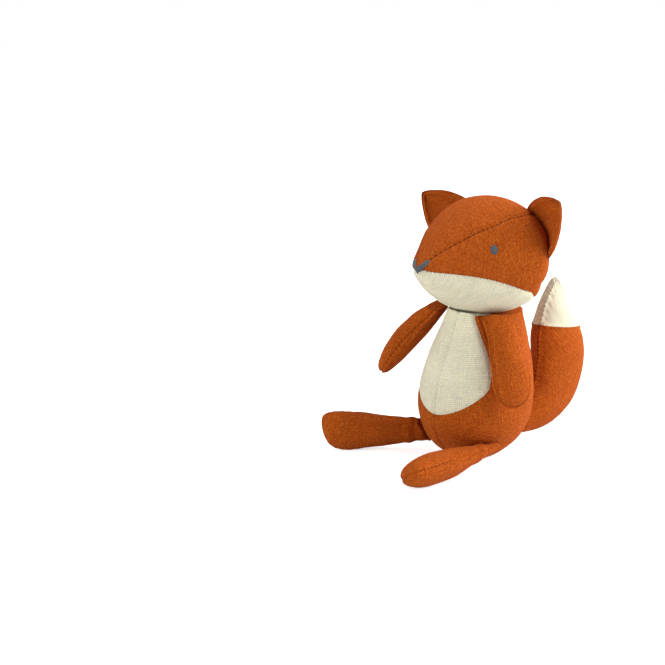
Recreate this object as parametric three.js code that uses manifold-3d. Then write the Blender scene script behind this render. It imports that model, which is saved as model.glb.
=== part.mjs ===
// A stuffed fox sewn from linen, sitting on its seat with both legs out in front.
//
// Every cover is a shell of sewn panels, one mesh for each panel, and every stuffed part holds
// its own filling. Head, arms, legs and tail are separate stuffed parts, sewn to the body.
//
// Millimetres, +Z up. The fox looks along -Y, so its own left side is +X.
// The origin lies on the surface that it sits on, under the middle of its seat.

import * as THREE from "three";
import { mergeVertices } from "three/addons/utils/BufferGeometryUtils.js";
import Module from "manifold-3d";

const wasm = await Module();
wasm.setup();

// Cloth and seams
const cloth_thickness = 1.2;
const seam_gap = 0.3;
const rest_flat = 1;
const cut_reach = 400;
// A section narrower than this is drawn as a point.
const smallest = 1e-6;

// Body: a pear that is round in plan and leans back a little
const belly_radius = 34.6;
const belly_height = 35;
const neck_radius = 21.5;
const neck_height = 90;
const seat_shift = -3;
const neck_shift = 7;
const body_width_share = 0.97;
const body_depth_share = 1.03;
const seat_roundness = 2;
const shoulder_roundness = 1.3;
const lean_power = 1.6;
const seat_panel_radius = 17;

// Cream patch down the front of the body
const patch_half_width = 27;
const patch_top_half_width = 10.8;
const patch_bottom_height = 32;
const patch_widest_height = 50;
const patch_roundness = 1.7;

// Head: a wedge from the nose to the cheeks, turned a little on the neck
const head_length = 86;
const head_half_width = 43.5;
const head_height = 67;
const nose_reach = 51;
const head_tilt_degrees = 2.6;
const cheek_height_share = 0.33;
const crown_roundness = 2.05;

// Each row is a section from the nose to the back of the head:
// its place along the head, then half-width, crown, chin seam, chin,
// and how much of the half-width is left at the seam.
const head_station_shares = [
  [0, 0, 0.44, 0.44, 0.44, 0.93],
  [0.02, 0.12, 0.51, 0.43, 0.37, 0.93],
  [0.06, 0.2, 0.565, 0.425, 0.31, 0.93],
  [0.15, 0.33, 0.665, 0.41, 0.2, 0.93],
  [0.28, 0.52, 0.795, 0.37, 0.1, 0.93],
  [0.42, 0.72, 0.91, 0.31, 0.02, 0.93],
  [0.57, 0.9, 0.985, 0.235, -0.03, 0.92],
  [0.71, 0.98, 1, 0.24, 0, 0.88],
  [0.85, 0.81, 0.93, 0.3, 0.12, 0.84],
  [0.945, 0.51, 0.79, 0.4, 0.27, 0.84],
  [1, 0, 0.52, 0.52, 0.52, 0.84],
];

// Outline of the forehead panel seen from above: place along the head, half-width.
const forehead_shares = [
  [-0.1, 0.08],
  [0, 0.08],
  [0.06, 0.135],
  [0.15, 0.237],
  [0.3, 0.413],
  [0.43, 0.548],
  [0.57, 0.636],
  [0.7, 0.69],
  [0.86, 0.56],
  [1.1, 0.3],
];

// Chin seam seen from the side, from the nose to the cheek corner: place along the head, height.
const chin_seam_shares = [
  [0, 0.44],
  [0.06, 0.42],
  [0.18, 0.394],
  [0.32, 0.354],
  [0.44, 0.302],
  [0.55, 0.24],
  [0.66, 0.178],
];
const chin_back_share = 0.86;
// How steeply the space under the turning head rises outwards from the neck.
const chin_rise_share = 0.41;
const chin_clearance = 0.8;

// Ears: two layers of cloth, cupped forwards, their lower edge turned back
const ear_length = 32;
const ear_half_width = 17.4;
const ear_half_thickness = 2.4;
const ear_edge_share = 0.15;
const ear_cup = 2.5;
const ear_twist = 2.5;
const ear_slant = 2;
const ear_out_share = 0.735;
const ear_along_share = 0.812;
const ear_height_share = 0.68;
const ear_lean_degrees = 54;
const ear_turn_degrees = 28;
const ear_station_shares = [
  [-0.4, 0.9, 0.8],
  [0, 1, 1],
  [0.3, 0.95, 1],
  [0.6, 0.74, 0.95],
  [0.82, 0.44, 0.8],
  [0.95, 0.2, 0.5],
  [1, 0, 0],
];

// Eyes and nose: pads of satin stitches
const eye_half_width = 2.7;
const eye_half_height = 3;
const eye_bulge = 1.5;
const eye_along_share = 0.375;
const eye_height = 39.8;
const nose_half_width = 6.6;
const nose_rise = 4.6;
const nose_bottom_height = 28.4;
const nose_thread_radius = 1.5;
const nose_sweep = 2.6;

// Arms
const arm_length = 54.5;
const arm_half_width = 11.2;
const arm_half_thickness = 8;
const arm_bow = 6;
const shoulder_x = 21.5;
const shoulder_y = -7.5;
const shoulder_lift = 1;
const shoulder_height = neck_height + shoulder_lift;
const arm_left_axis_y = -13;
const arm_right_axis_y = -5.5;
const arm_station_shares = [
  [-0.1, 0.8, 0.44, -0.1],
  [0.08, 0.8, 0.66, 0.3],
  [0.28, 0.8, 0.92, 0.65],
  [0.52, 0.9, 1, 0.95],
  [0.75, 1, 0.88, 1],
  [0.91, 0.8, 0.6, 0.95],
  [0.975, 0.48, 0.34, 0.9],
  [1, 0, 0, 0.88],
];

// Legs: pinched flat where they are sewn to the body
const leg_length = 67;
const leg_half_width = 12.2;
const leg_half_thickness = 7.6;
const foot_slant = 3;
const hip_x = 25;
const hip_y = -14;
const hip_height = 12.2;
const leg_station_shares = [
  [-0.17, 0.56, 0.3, 0],
  [0.03, 0.56, 0.4, 0],
  [0.13, 0.58, 0.66, 0],
  [0.28, 0.66, 0.86, 0],
  [0.48, 0.8, 0.97, 0],
  [0.68, 0.95, 1, 0],
  [0.84, 1, 0.96, 0],
  [0.94, 0.86, 0.78, 0],
  [0.985, 0.52, 0.46, 0],
  [1, 0, 0, 0],
];

// Tail: a flat leaf that rises behind the body
const tail_reach = 36;
const tail_height = 88;
const tail_half_width = 22;
const tail_half_thickness = 12.3;
const tail_root_y = 33;
const tail_root_height = 13;
const tip_height_share = 0.655;
const tip_slope_degrees = 8;
// Each row: how far behind the root, how high above it, half-width and half-thickness.
const tail_station_shares = [
  [-0.1, -0.01, 0.26, 0.24],
  [0, 0, 0.29, 0.28],
  [0.27, 0.02, 0.42, 0.52],
  [0.6, 0.08, 0.68, 0.8],
  [0.9, 0.17, 0.91, 0.96],
  [1.1, 0.3, 1, 1],
  [1.13, 0.45, 0.99, 1],
  [1.02, 0.61, 0.84, 0.9],
  [0.97, 0.78, 0.57, 0.68],
  [0.97, 0.91, 0.29, 0.4],
  [0.985, 0.98, 0.12, 0.18],
  [0.99, 1, 0, 0],
];

// How far each sewn-on part can be turned from where it sits, in degrees
const arm_left_swing_degrees = [-12, 48];
const arm_right_swing_degrees = [-35, 20];
const leg_left_splay_degrees = [-4, 50];
const leg_right_splay_degrees = [-36, 14];
const tail_wag_degrees = [-25, 25];

// Where the arms and legs point as the fox sits
const arm_left_drop = new THREE.Vector3(0.29, -0.055, -0.96);
const arm_right_drop = new THREE.Vector3(-0.39, -0.455, -0.81);
const arm_left_edge = new THREE.Vector3(-0.45, -0.89, 0);
const arm_right_edge = new THREE.Vector3(0.63, -0.77, 0.12);
const leg_left_point = new THREE.Vector3(-0.06, -1, -0.06);
const leg_right_point = new THREE.Vector3(-0.64, -0.77, 0);
const leg_left_edge = new THREE.Vector3(0.86, 0, 0.51);
const upright = new THREE.Vector3(0, 0, 1);

// Fineness of the surfaces
const outer_sides = 18;
const inner_sides = 12;
const limb_sides = 12;
const limb_rings = 9;
const head_segments = 4;
const head_rings = 14;
const head_inner_segments = 4;
const head_inner_rings = 10;
const limb_inner_sides = 8;
const limb_inner_rings = 6;
const patch_steps = 5;
const pad_sides = 10;
const pad_rings = 8;
const bar_cap_rings = 3;
const row_step = 1 / 32;
const ear_steps = 5;
const sweep_steps = 4;

const orange_linen = new THREE.MeshStandardMaterial({ color: 0xb9541a, roughness: 0.92, metalness: 0 });
const cream_linen = new THREE.MeshStandardMaterial({ color: 0xe4dcc2, roughness: 0.92, metalness: 0 });
const slate_thread = new THREE.MeshStandardMaterial({ color: 0x47555f, roughness: 0.7, metalness: 0 });
const fibre_filling = new THREE.MeshStandardMaterial({ color: 0xf4f2ec, roughness: 1, metalness: 0 });

const fox = new THREE.Group();

// Solids

// A closed mesh as a solid, with its faces turned outwards.
function solidOf(geometry) {
  const bare = geometry.clone();
  bare.deleteAttribute("normal");
  bare.deleteAttribute("uv");
  const merged = mergeVertices(bare);
  const place = merged.getAttribute("position");
  const corners = Uint32Array.from(merged.index.array);
  const [a, b, c] = [new THREE.Vector3(), new THREE.Vector3(), new THREE.Vector3()];
  let volume = 0;
  for (let i = 0; i < corners.length; i += 3) {
    a.fromBufferAttribute(place, corners[i]);
    b.fromBufferAttribute(place, corners[i + 1]);
    c.fromBufferAttribute(place, corners[i + 2]);
    volume += a.dot(b.cross(c));
  }
  if (volume < 0) corners.reverse();
  const mesh = new wasm.Mesh({
    numProp: 3,
    vertProperties: Float32Array.from(place.array),
    triVerts: corners,
  });
  return new wasm.Manifold(mesh);
}

function geometryOf(solid) {
  const { numProp, vertProperties, triVerts } = solid.getMesh();
  const geometry = new THREE.BufferGeometry();
  const places = new Float32Array((vertProperties.length / numProp) * 3);
  for (let i = 0; i < places.length / 3; i++) {
    for (let k = 0; k < 3; k++) places[3 * i + k] = vertProperties[numProp * i + k];
  }
  geometry.setAttribute("position", new THREE.BufferAttribute(places, 3));
  geometry.setIndex(new THREE.BufferAttribute(Uint32Array.from(triVerts), 1));
  geometry.computeVertexNormals();
  return geometry;
}

// A skin over rings of points. A ring of one point is a pole; an open end gets a flat cap.
function loft(rings) {
  const closed = [...rings];
  if (rings[0].length > 1) closed.unshift([middleOf(rings[0])]);
  if (rings.at(-1).length > 1) closed.push([middleOf(rings.at(-1))]);
  const triangles = [];
  let start = 0;
  for (let i = 0; i + 1 < closed.length; i++) {
    const here = closed[i].length;
    const next = closed[i + 1].length;
    const sides = Math.max(here, next);
    for (let k = 0; k < sides; k++) {
      const m = (k + 1) % sides;
      const low = start + (here > 1 ? k : 0);
      const high = start + here + (next > 1 ? k : 0);
      if (here > 1) triangles.push(low, start + m, high);
      if (next > 1) triangles.push(start + (here > 1 ? m : 0), start + here + m, high);
    }
    start += here;
  }
  const geometry = new THREE.BufferGeometry();
  const places = closed.flat().flatMap((point) => point.toArray());
  geometry.setAttribute("position", new THREE.Float32BufferAttribute(places, 3));
  geometry.setIndex(triangles);
  return geometry;
}

function middleOf(ring) {
  const middle = new THREE.Vector3();
  for (const point of ring) middle.addScaledVector(point, 1 / ring.length);
  return middle;
}

// A smooth row between the rows of a table. Where an end is round, the table is mirrored there.
function stationAt(rows, t, round_start) {
  const last = rows.length - 1;
  const i = Math.min(Math.floor(t), last - 1);
  const before = i > 0 ? rows[i - 1] : mirrored(rows[1], rows[0], round_start);
  const after = i + 2 <= last ? rows[i + 2] : mirrored(rows[last - 1], rows[last], true);
  const f = t - i;
  return rows[i].map((value, k) => {
    const next = rows[i + 1][k];
    const slope = (next - before[k]) / 2;
    const next_slope = (after[k] - value) / 2;
    const bend = 3 * (next - value) - 2 * slope - next_slope;
    return value + f * (slope + f * (bend + f * (slope + next_slope - 2 * (next - value))));
  });
}

function mirrored(inner, end, rounded) {
  return end.map((value, k) => (k === 0 && rounded ? inner[0] : 2 * value - inner[k]));
}

// A block between two opposite corners, and one with only some of its six faces nearby.
function box(from, to) {
  const size = new THREE.Vector3().subVectors(to, from);
  const geometry = new THREE.BoxGeometry(size.x, size.y, size.z);
  const middle = new THREE.Vector3().addVectors(from, to).multiplyScalar(0.5);
  return geometry.translate(middle.x, middle.y, middle.z);
}

function slab(low, high) {
  const from = new THREE.Vector3(-cut_reach, -cut_reach, -cut_reach);
  const to = new THREE.Vector3(cut_reach, cut_reach, cut_reach);
  for (const axis of ["x", "y", "z"]) {
    if (axis in low) from[axis] = low[axis];
    if (axis in high) to[axis] = high[axis];
  }
  return box(from, to);
}

const above = (height) => slab({ z: height }, {});
const below = (height) => slab({}, { z: height });

// A prism through the whole toy over an outline, seen along one axis.
function prism(outline, across, depth_from, depth_to) {
  const ring_at = (depth) => outline.map(([u, v]) => across(u, v, depth));
  return loft([ring_at(depth_from), ring_at(depth_to)]);
}

// An outline moved outwards by a clearance, for one that runs anticlockwise.
function widened(outline, clearance) {
  return outline.map(([u, v], i) => {
    const [pu, pv] = outline[(i + outline.length - 1) % outline.length];
    const [nu, nv] = outline[(i + 1) % outline.length];
    const run = Math.hypot(nu - pu, nv - pv);
    return [u + (clearance * (nv - pv)) / run, v - (clearance * (nu - pu)) / run];
  });
}

// A piece is the largest body of its solid: crumbs that a cut leaves at an edge are dropped.
function addPiece(group, name, solid, material) {
  const [whole] = solid.decompose().sort((one, other) => other.volume() - one.volume());
  const mesh = new THREE.Mesh(geometryOf(whole), material);
  mesh.name = name;
  group.add(mesh);
}

// Body

function bodyRadius(height, inset) {
  if (height < belly_height) {
    const depth_share = (belly_height - height) / (belly_height + rest_flat - inset);
    const swell = 1 - Math.min(1, depth_share) ** seat_roundness;
    return (belly_radius - inset) * swell ** (1 / seat_roundness);
  }
  const rise_share = Math.min(1, (height - belly_height) / (neck_height - belly_height));
  const swell = (1 - rise_share ** 2) ** shoulder_roundness;
  return neck_radius + (belly_radius - neck_radius) * swell - inset;
}

function bodyShift(height) {
  const rise_share = Math.max(0, height) / neck_height;
  return seat_shift + (neck_shift - seat_shift) * rise_share ** lean_power;
}

function bodyShape(inset, sides) {
  const seat_rings = Math.round(sides / 4);
  const upper_rings = Math.round(sides / 3);
  const rings = [[new THREE.Vector3(0, bodyShift(0), inset - rest_flat)]];
  for (let i = 1; i <= seat_rings; i++) {
    const drop = (belly_height + rest_flat - inset) * Math.cos(((i / seat_rings) * Math.PI) / 2);
    rings.push(bodyRing(belly_height - drop, inset, sides));
  }
  for (let i = 1; i <= upper_rings; i++) {
    const rise = ((neck_height - belly_height) * i) / upper_rings;
    rings.push(bodyRing(belly_height + rise, inset, sides));
  }
  const top = rings.at(-1).map((point) => point.clone().setZ(neck_height + rest_flat));
  rings.push(top);
  return loft(rings);
}

function bodyRing(height, inset, sides) {
  const radius = bodyRadius(height, inset);
  const shift = bodyShift(height);
  return Array.from({ length: sides }, (_, k) => {
    const turn = ((k + 0.5) / sides) * 2 * Math.PI;
    const x = radius * body_width_share * Math.cos(turn);
    const y = shift + radius * body_depth_share * Math.sin(turn);
    return new THREE.Vector3(x, y, height);
  });
}

// Half of the patch from its lowest point up its left edge to the neck, then mirrored.
function patchOutline() {
  const half = [];
  const steps = patch_steps;
  for (let i = 0; i <= steps; i++) {
    const turn = ((i / steps) * Math.PI) / 2;
    const out_share = Math.sin(turn) ** (2 / patch_roundness);
    const down_share = Math.cos(turn) ** (2 / patch_roundness);
    const drop = (patch_widest_height - patch_bottom_height) * down_share;
    half.push([patch_half_width * out_share, patch_widest_height - drop]);
  }
  for (let i = 1; i <= steps; i++) {
    const rise_share = i / steps;
    const narrowing = (1 - rise_share ** 2) ** shoulder_roundness;
    const half_width = patch_top_half_width + (patch_half_width - patch_top_half_width) * narrowing;
    half.push([half_width, patch_widest_height + (neck_height - patch_widest_height) * rise_share]);
  }
  half.push([patch_top_half_width, neck_height + cloth_thickness]);
  const other = half.slice(1).map(([x, z]) => [-x, z]).reverse();
  return [...half, ...other];
}

function seatOutline() {
  return Array.from({ length: inner_sides }, (_, k) => {
    const turn = (k / inner_sides) * 2 * Math.PI;
    return [seat_panel_radius * Math.cos(turn), seat_shift + seat_panel_radius * Math.sin(turn)];
  });
}

const front_of = (x, z, y) => new THREE.Vector3(x, y, z);
const from_above = (x, y, z) => new THREE.Vector3(x, y, z);

function buildBody() {
  const group = new THREE.Group();
  const standing = solidOf(slab({ z: 0 }, { z: neck_height }));
  const cavity = solidOf(bodyShape(cloth_thickness, inner_sides));
  const cover = solidOf(bodyShape(0, outer_sides)).intersect(standing).subtract(cavity);
  const patch = solidOf(prism(patchOutline(), front_of, 0, -cut_reach));
  const patch_hole = solidOf(prism(widened(patchOutline(), seam_gap), front_of, 0, -cut_reach));
  const patches = cover.intersect(patch);
  const seat = solidOf(prism(seatOutline(), from_above, -cut_reach, belly_height));
  const seat_sides = widened(seatOutline(), seam_gap);
  const seat_hole = solidOf(prism(seat_sides, from_above, -cut_reach, belly_height));
  const rest = cover.subtract(patch_hole).subtract(seat_hole);
  addPiece(group, "seat_panel", cover.intersect(seat), orange_linen);
  for (const [side, half] of sidesOf(seam_gap / 2)) {
    addPiece(group, `tummy_panel_${side}`, patches.intersect(half), cream_linen);
    addPiece(group, `body_panel_${side}`, rest.intersect(half), orange_linen);
  }
  const filling = solidOf(bodyShape(cloth_thickness + seam_gap, inner_sides));
  addPiece(group, "body_filling", filling.intersect(standing), fibre_filling);
  return group;
}

// The fox's left and right halves, each kept back from the middle by a clearance.
function sidesOf(clearance) {
  return [
    ["left", solidOf(slab({ x: clearance }, {}))],
    ["right", solidOf(slab({}, { x: -clearance }))],
  ];
}

// Head, in a frame whose origin is the middle of the neck's top

function headRow(along_share) {
  let t = 0;
  const last = head_station_shares.length - 1;
  while (t < last && stationAt(head_station_shares, t, true)[0] < along_share) t += row_step;
  return stationAt(head_station_shares, Math.min(t, last), true);
}

const head_y = (along_share) => along_share * head_length - nose_reach - neck_shift;

function headRing(t, inset, segments) {
  const row = stationAt(head_station_shares, t, true);
  const [along_share, width_share, crown_share, seam_share, chin_share, corner_share] = row;
  const half_width = (head_half_width - inset) * width_share;
  const shrink = (head_height - 2 * inset) / head_height;
  const heightOf = (share) => inset + share * head_height * shrink;
  const y = head_y(0.5) + (along_share - 0.5) * (head_length - 2 * inset);
  if (half_width < smallest) return [new THREE.Vector3(0, y, heightOf(crown_share))];
  const crown = heightOf(crown_share);
  const seam = heightOf(seam_share);
  const chin = heightOf(chin_share);
  const cheek = seam + (crown - seam) * cheek_height_share;
  const corner = half_width * corner_share;
  const half = [];
  for (let i = 0; i < segments; i++) {
    const turn = ((i / segments) * Math.PI) / 2;
    const out_share = Math.sin(turn) ** (2 / crown_roundness);
    const up_share = Math.cos(turn) ** (2 / crown_roundness);
    half.push([half_width * out_share, cheek + (crown - cheek) * up_share]);
  }
  const side_steps = segments / 2;
  for (let i = 0; i < side_steps; i++) {
    const f = i / side_steps;
    half.push([half_width - (half_width - corner) * f * f, cheek - (cheek - seam) * f]);
  }
  for (let i = 0; i < segments; i++) {
    const turn = ((i / segments) * Math.PI) / 2;
    half.push([corner * Math.cos(turn), seam - (seam - chin) * Math.sin(turn)]);
  }
  const other = half.slice(1).map(([x, z]) => [-x, z]).reverse();
  return [...half, [0, chin], ...other].map(([x, z]) => new THREE.Vector3(x, y, z));
}

function headShape(inset, segments, count) {
  const rings = [];
  const last = head_station_shares.length - 1;
  for (let i = 0; i <= count; i++) rings.push(headRing((i * last) / count, inset, segments));
  return loft(rings);
}

// The side view of the chin panel: forwards along its seam, then back under the chin.
function chinOutline() {
  const seam = chin_seam_shares.map(([along, up]) => [head_y(along), up * head_height]);
  const under_nose = [head_y(0) - cut_reach, seam[0][1]];
  const below = [under_nose[0], -cut_reach];
  const back = [head_y(chin_back_share), -cut_reach];
  return [...seam.reverse(), under_nose, below, back, [back[0], 0]];
}

function foreheadOutline() {
  const half = [];
  const count = (forehead_shares.length - 1) * 2;
  for (let i = 0; i <= count; i++) {
    const [along_share, width_share] = stationAt(forehead_shares, i / 2, false);
    half.push([width_share * head_half_width, head_y(along_share)]);
  }
  return [...half, ...half.map(([x, y]) => [-x, y]).reverse()];
}

const from_side = (y, z, x) => new THREE.Vector3(x, y, z);

function headSurface(along_share, height) {
  const [, width_share, crown_share, seam_share] = headRow(along_share);
  const crown = crown_share * head_height;
  const cheek = crown * cheek_height_share + seam_share * head_height * (1 - cheek_height_share);
  const up_share = Math.max(0, height - cheek) / (crown - cheek);
  const out_share = (1 - up_share ** crown_roundness) ** (1 / crown_roundness);
  return new THREE.Vector3(width_share * head_half_width * out_share, head_y(along_share), height);
}

function buildHead() {
  const group = new THREE.Group();
  group.position.set(0, neck_shift, neck_height);
  group.rotation.y = -THREE.MathUtils.degToRad(head_tilt_degrees);
  group.updateMatrix();
  const untilt = new THREE.Matrix4().makeRotationY(THREE.MathUtils.degToRad(head_tilt_degrees));
  const over_neck = solidOf(above(seam_gap).applyMatrix4(untilt));
  const outer = solidOf(headShape(0, head_segments, head_rings));
  const cavity = solidOf(headShape(cloth_thickness, head_inner_segments, head_inner_rings));
  const cover = outer.intersect(over_neck).subtract(cavity);

  const chin_sides = chinOutline();
  const chin = solidOf(prism(chin_sides, from_side, -cut_reach, cut_reach));
  const chin_hole = solidOf(prism(widened(chin_sides, seam_gap), from_side, -cut_reach, cut_reach));
  const forehead_sides = foreheadOutline();
  const forehead = solidOf(prism(forehead_sides, from_above, -cut_reach, cut_reach));
  const wide_forehead = widened(forehead_sides, seam_gap);
  const forehead_hole = solidOf(prism(wide_forehead, from_above, -cut_reach, cut_reach));
  const upper = cover.subtract(chin_hole);
  addPiece(group, "chin_panel", cover.intersect(chin), cream_linen);
  addPiece(group, "forehead_panel", upper.intersect(forehead), orange_linen);
  for (const [side, half] of sidesOf(0)) {
    const panel = upper.subtract(forehead_hole).intersect(half);
    addPiece(group, `head_side_panel_${side}`, panel, orange_linen);
  }
  const filling = solidOf(headShape(cloth_thickness + seam_gap, head_inner_segments, head_inner_rings));
  addPiece(group, "head_filling", filling.intersect(over_neck), fibre_filling);

  const head_with_gap = solidOf(headShape(-seam_gap, head_segments, head_rings));
  for (const [side, sign] of [["left", 1], ["right", -1]]) {
    for (const layer of ["front", "back"]) {
      const ear = solidOf(earLayer(layer, sign)).subtract(head_with_gap);
      addPiece(group, `ear_${side}_${layer}`, ear, orange_linen);
    }
    const eye = solidOf(eyePad(sign)).subtract(head_with_gap);
    addPiece(group, `eye_${side}`, eye, slate_thread);
  }
  addPiece(group, "nose_stitching", noseStitches().subtract(head_with_gap), slate_thread);
  return group;
}

// One layer of an ear. Both layers keep to their own side of the ear's middle sheet.
function earLayer(layer, sign) {
  const facing = layer === "front" ? -1 : 1;
  const lean = THREE.MathUtils.degToRad(ear_lean_degrees);
  const turn = THREE.MathUtils.degToRad(ear_turn_degrees);
  const root = new THREE.Vector3(
    ear_out_share * head_half_width,
    head_y(ear_along_share),
    ear_height_share * head_height,
  );
  const rings = [];
  const count = (ear_station_shares.length - 1) * 2;
  for (let i = 0; i <= count; i++) {
    const row = stationAt(ear_station_shares, i / 2, false);
    const slant = ear_slant * Math.max(0, row[0]) ** 2;
    rings.push(earRing(row, facing, (along, offset, depth) => {
      const across = offset + slant;
      const out = along * Math.sin(lean) - across * Math.cos(lean);
      const up = along * Math.cos(lean) + across * Math.sin(lean);
      const x = root.x + out * Math.cos(turn) + depth * Math.sin(turn);
      const y = root.y - out * Math.sin(turn) + depth * Math.cos(turn);
      return new THREE.Vector3(sign * x, y, root.z + up);
    }));
  }
  return loft(rings);
}

function earRing([along_share, width_share, thickness_share], facing, place) {
  const along = along_share * ear_length;
  const half_width = width_share * ear_half_width;
  const cup = (across) => {
    const share = across / ear_half_width;
    return -share * (ear_cup * share + ear_twist);
  };
  if (half_width < smallest) return [place(along, 0, (facing * seam_gap) / 2)];
  const ring = [];
  const edge_thickness = ear_half_thickness * ear_edge_share;
  for (let i = 0; i <= ear_steps; i++) {
    const turn = (i / ear_steps) * Math.PI;
    const across = half_width * Math.cos(turn);
    const swell = (ear_half_thickness - edge_thickness) * thickness_share * Math.sin(turn);
    const depth = facing * (seam_gap / 2 + edge_thickness + swell) + cup(across);
    ring.push(place(along, across, depth));
  }
  for (let i = ear_steps; i >= 0; i--) {
    const across = half_width * Math.cos((i / ear_steps) * Math.PI);
    ring.push(place(along, across, (facing * seam_gap) / 2 + cup(across)));
  }
  return ring;
}

function eyePad(sign) {
  const centre = headSurface(eye_along_share, eye_height);
  const up = headSurface(eye_along_share, eye_height + eye_half_height).sub(centre);
  const back_share = eye_half_width / head_length;
  const back = headSurface(eye_along_share + back_share, eye_height).sub(centre);
  const out = new THREE.Vector3().crossVectors(back, up).normalize();
  if (out.x < 0) out.negate();
  const side = new THREE.Vector3().crossVectors(up, out).normalize();
  const lift = new THREE.Vector3().crossVectors(out, side);
  const pad = new THREE.SphereGeometry(1, pad_sides, pad_rings);
  pad.scale(eye_half_width, eye_half_height, eye_bulge);
  pad.applyMatrix4(new THREE.Matrix4().makeBasis(side, lift, out).setPosition(centre));
  return sign > 0 ? pad : pad.scale(-1, 1, 1);
}

// Two bars of satin stitches that meet under the tip of the nose.
function noseStitches() {
  const low = new THREE.Vector3(0, head_y(0), nose_bottom_height);
  const bars = [1, -1].map((sign) => {
    const rise = new THREE.Vector3(sign * nose_half_width, nose_sweep, nose_rise);
    const bar = new THREE.CapsuleGeometry(nose_thread_radius, rise.length(), bar_cap_rings, pad_sides);
    const turn = new THREE.Quaternion().setFromUnitVectors(
      new THREE.Vector3(0, 1, 0),
      rise.clone().normalize(),
    );
    const middle = low.clone().addScaledVector(rise, 0.5);
    return solidOf(bar.applyQuaternion(turn).translate(middle.x, middle.y, middle.z));
  });
  return bars[0].add(bars[1]);
}

// Limbs, each in its own frame: length along X from the root, width along Y, thickness along Z

function limbShape(limb, inset, sides, count) {
  const rings = [];
  for (let i = 0; i <= count; i++) {
    const row = stationAt(limb.rows, (i * (limb.rows.length - 1)) / count, false);
    const [along_share, width_share, thickness_share, bow_share] = row;
    const along = along_share * (limb.length - inset);
    const half_width = width_share * (limb.half_width - inset);
    const half_thickness = thickness_share * (limb.half_thickness - inset);
    const bow = bow_share * limb.bow;
    const slant_share = Math.max(0, along_share) ** 3;
    const place = (across, depth) => {
      const slant = (limb.slant * slant_share * across) / limb.half_width;
      return new THREE.Vector3(along + slant, across, depth + bow);
    };
    if (half_width < smallest) {
      rings.push([place(0, 0)]);
      continue;
    }
    rings.push(Array.from({ length: sides }, (_, k) => {
      const turn = (k / sides) * 2 * Math.PI;
      return place(half_width * Math.cos(turn), half_thickness * Math.sin(turn));
    }));
  }
  return loft(rings);
}

// All the space on one side of a limb's middle sheet, which follows its bow.
function limbHalf(limb, face) {
  const reach = limb.half_width * 2;
  const last = limb.rows.length - 1;
  const rings = limb.rows.map(([along_share, , , bow_share], i) => {
    const overrun = i === 0 ? -reach : i === last ? reach : 0;
    const along = along_share * limb.length + overrun;
    const near = bow_share * limb.bow + (face * seam_gap) / 2;
    const far = near + face * reach;
    const corners = [[reach, near], [-reach, near], [-reach, far], [reach, far]];
    return corners.map(([across, depth]) => new THREE.Vector3(along, across, depth));
  });
  return solidOf(loft(rings));
}

// What a limb must keep clear of while it turns about its axis, seen from the limb.
function sweptRoom(limb, frame_inverse, obstacle) {
  const [low, high] = limb.range_degrees;
  let room = null;
  for (let i = 0; i < sweep_steps; i++) {
    const degrees = low + ((high - low) * i) / (sweep_steps - 1);
    const turned = turnAbout(limb.axis_point, limb.axis, -THREE.MathUtils.degToRad(degrees));
    const solid = solidOf(obstacle().applyMatrix4(turned).applyMatrix4(frame_inverse));
    room = room ? room.add(solid) : solid;
  }
  return room;
}

function turnAbout(pivot, axis, angle) {
  const to_pivot = new THREE.Matrix4().makeTranslation(-pivot.x, -pivot.y, -pivot.z);
  const back = new THREE.Matrix4().makeTranslation(pivot.x, pivot.y, pivot.z);
  return back.multiply(new THREE.Matrix4().makeRotationAxis(axis, angle)).multiply(to_pivot);
}

function frameOf(pivot, point, edge) {
  const along = point.clone().normalize();
  const across = edge.clone().addScaledVector(along, -edge.dot(along)).normalize();
  const face = new THREE.Vector3().crossVectors(along, across);
  return new THREE.Matrix4().makeBasis(along, across, face).setPosition(pivot);
}

function buildLimb(limb) {
  const frame = frameOf(limb.pivot, limb.point, limb.edge);
  const frame_inverse = frame.clone().invert();
  const group = new THREE.Group();
  group.applyMatrix4(frame);
  const room = limb.rooms.reduce((all, obstacle) => {
    const swept = sweptRoom(limb, frame_inverse, obstacle);
    return all ? all.add(swept) : swept;
  }, null);
  const floor = solidOf(below(0).applyMatrix4(frame_inverse));
  const cavity = solidOf(limbShape(limb, cloth_thickness, limb_inner_sides, limb_inner_rings));
  const outer = solidOf(limbShape(limb, 0, limb_sides, limb_rings));
  const cover = outer.subtract(cavity).subtract(room).subtract(floor);
  for (const [name, face] of [["outer", limb.outside], ["inner", -limb.outside]]) {
    const panel = cover.intersect(limbHalf(limb, face));
    addPiece(group, `${limb.name}_panel_${name}`, panel, orange_linen);
  }
  const filling = solidOf(limbShape(limb, cloth_thickness + seam_gap, limb_inner_sides, limb_inner_rings));
  addPiece(group, `${limb.name}_filling`, filling.subtract(room).subtract(floor), fibre_filling);
  return group;
}

const body_room = () => bodyShape(-seam_gap, outer_sides);

// The bowl of space over the arms in which the head turns: flat over the neck, then rising.
function head_room() {
  const rim = cut_reach;
  const bottom = neck_height - chin_clearance;
  const profile = [
    new THREE.Vector2(0, bottom),
    new THREE.Vector2(neck_radius, bottom),
    new THREE.Vector2(neck_radius + rim, bottom + rim * chin_rise_share),
    new THREE.Vector2(0, bottom + rim * chin_rise_share),
  ];
  return new THREE.LatheGeometry(profile, outer_sides).rotateX(Math.PI / 2).translate(0, neck_shift, 0);
}

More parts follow.
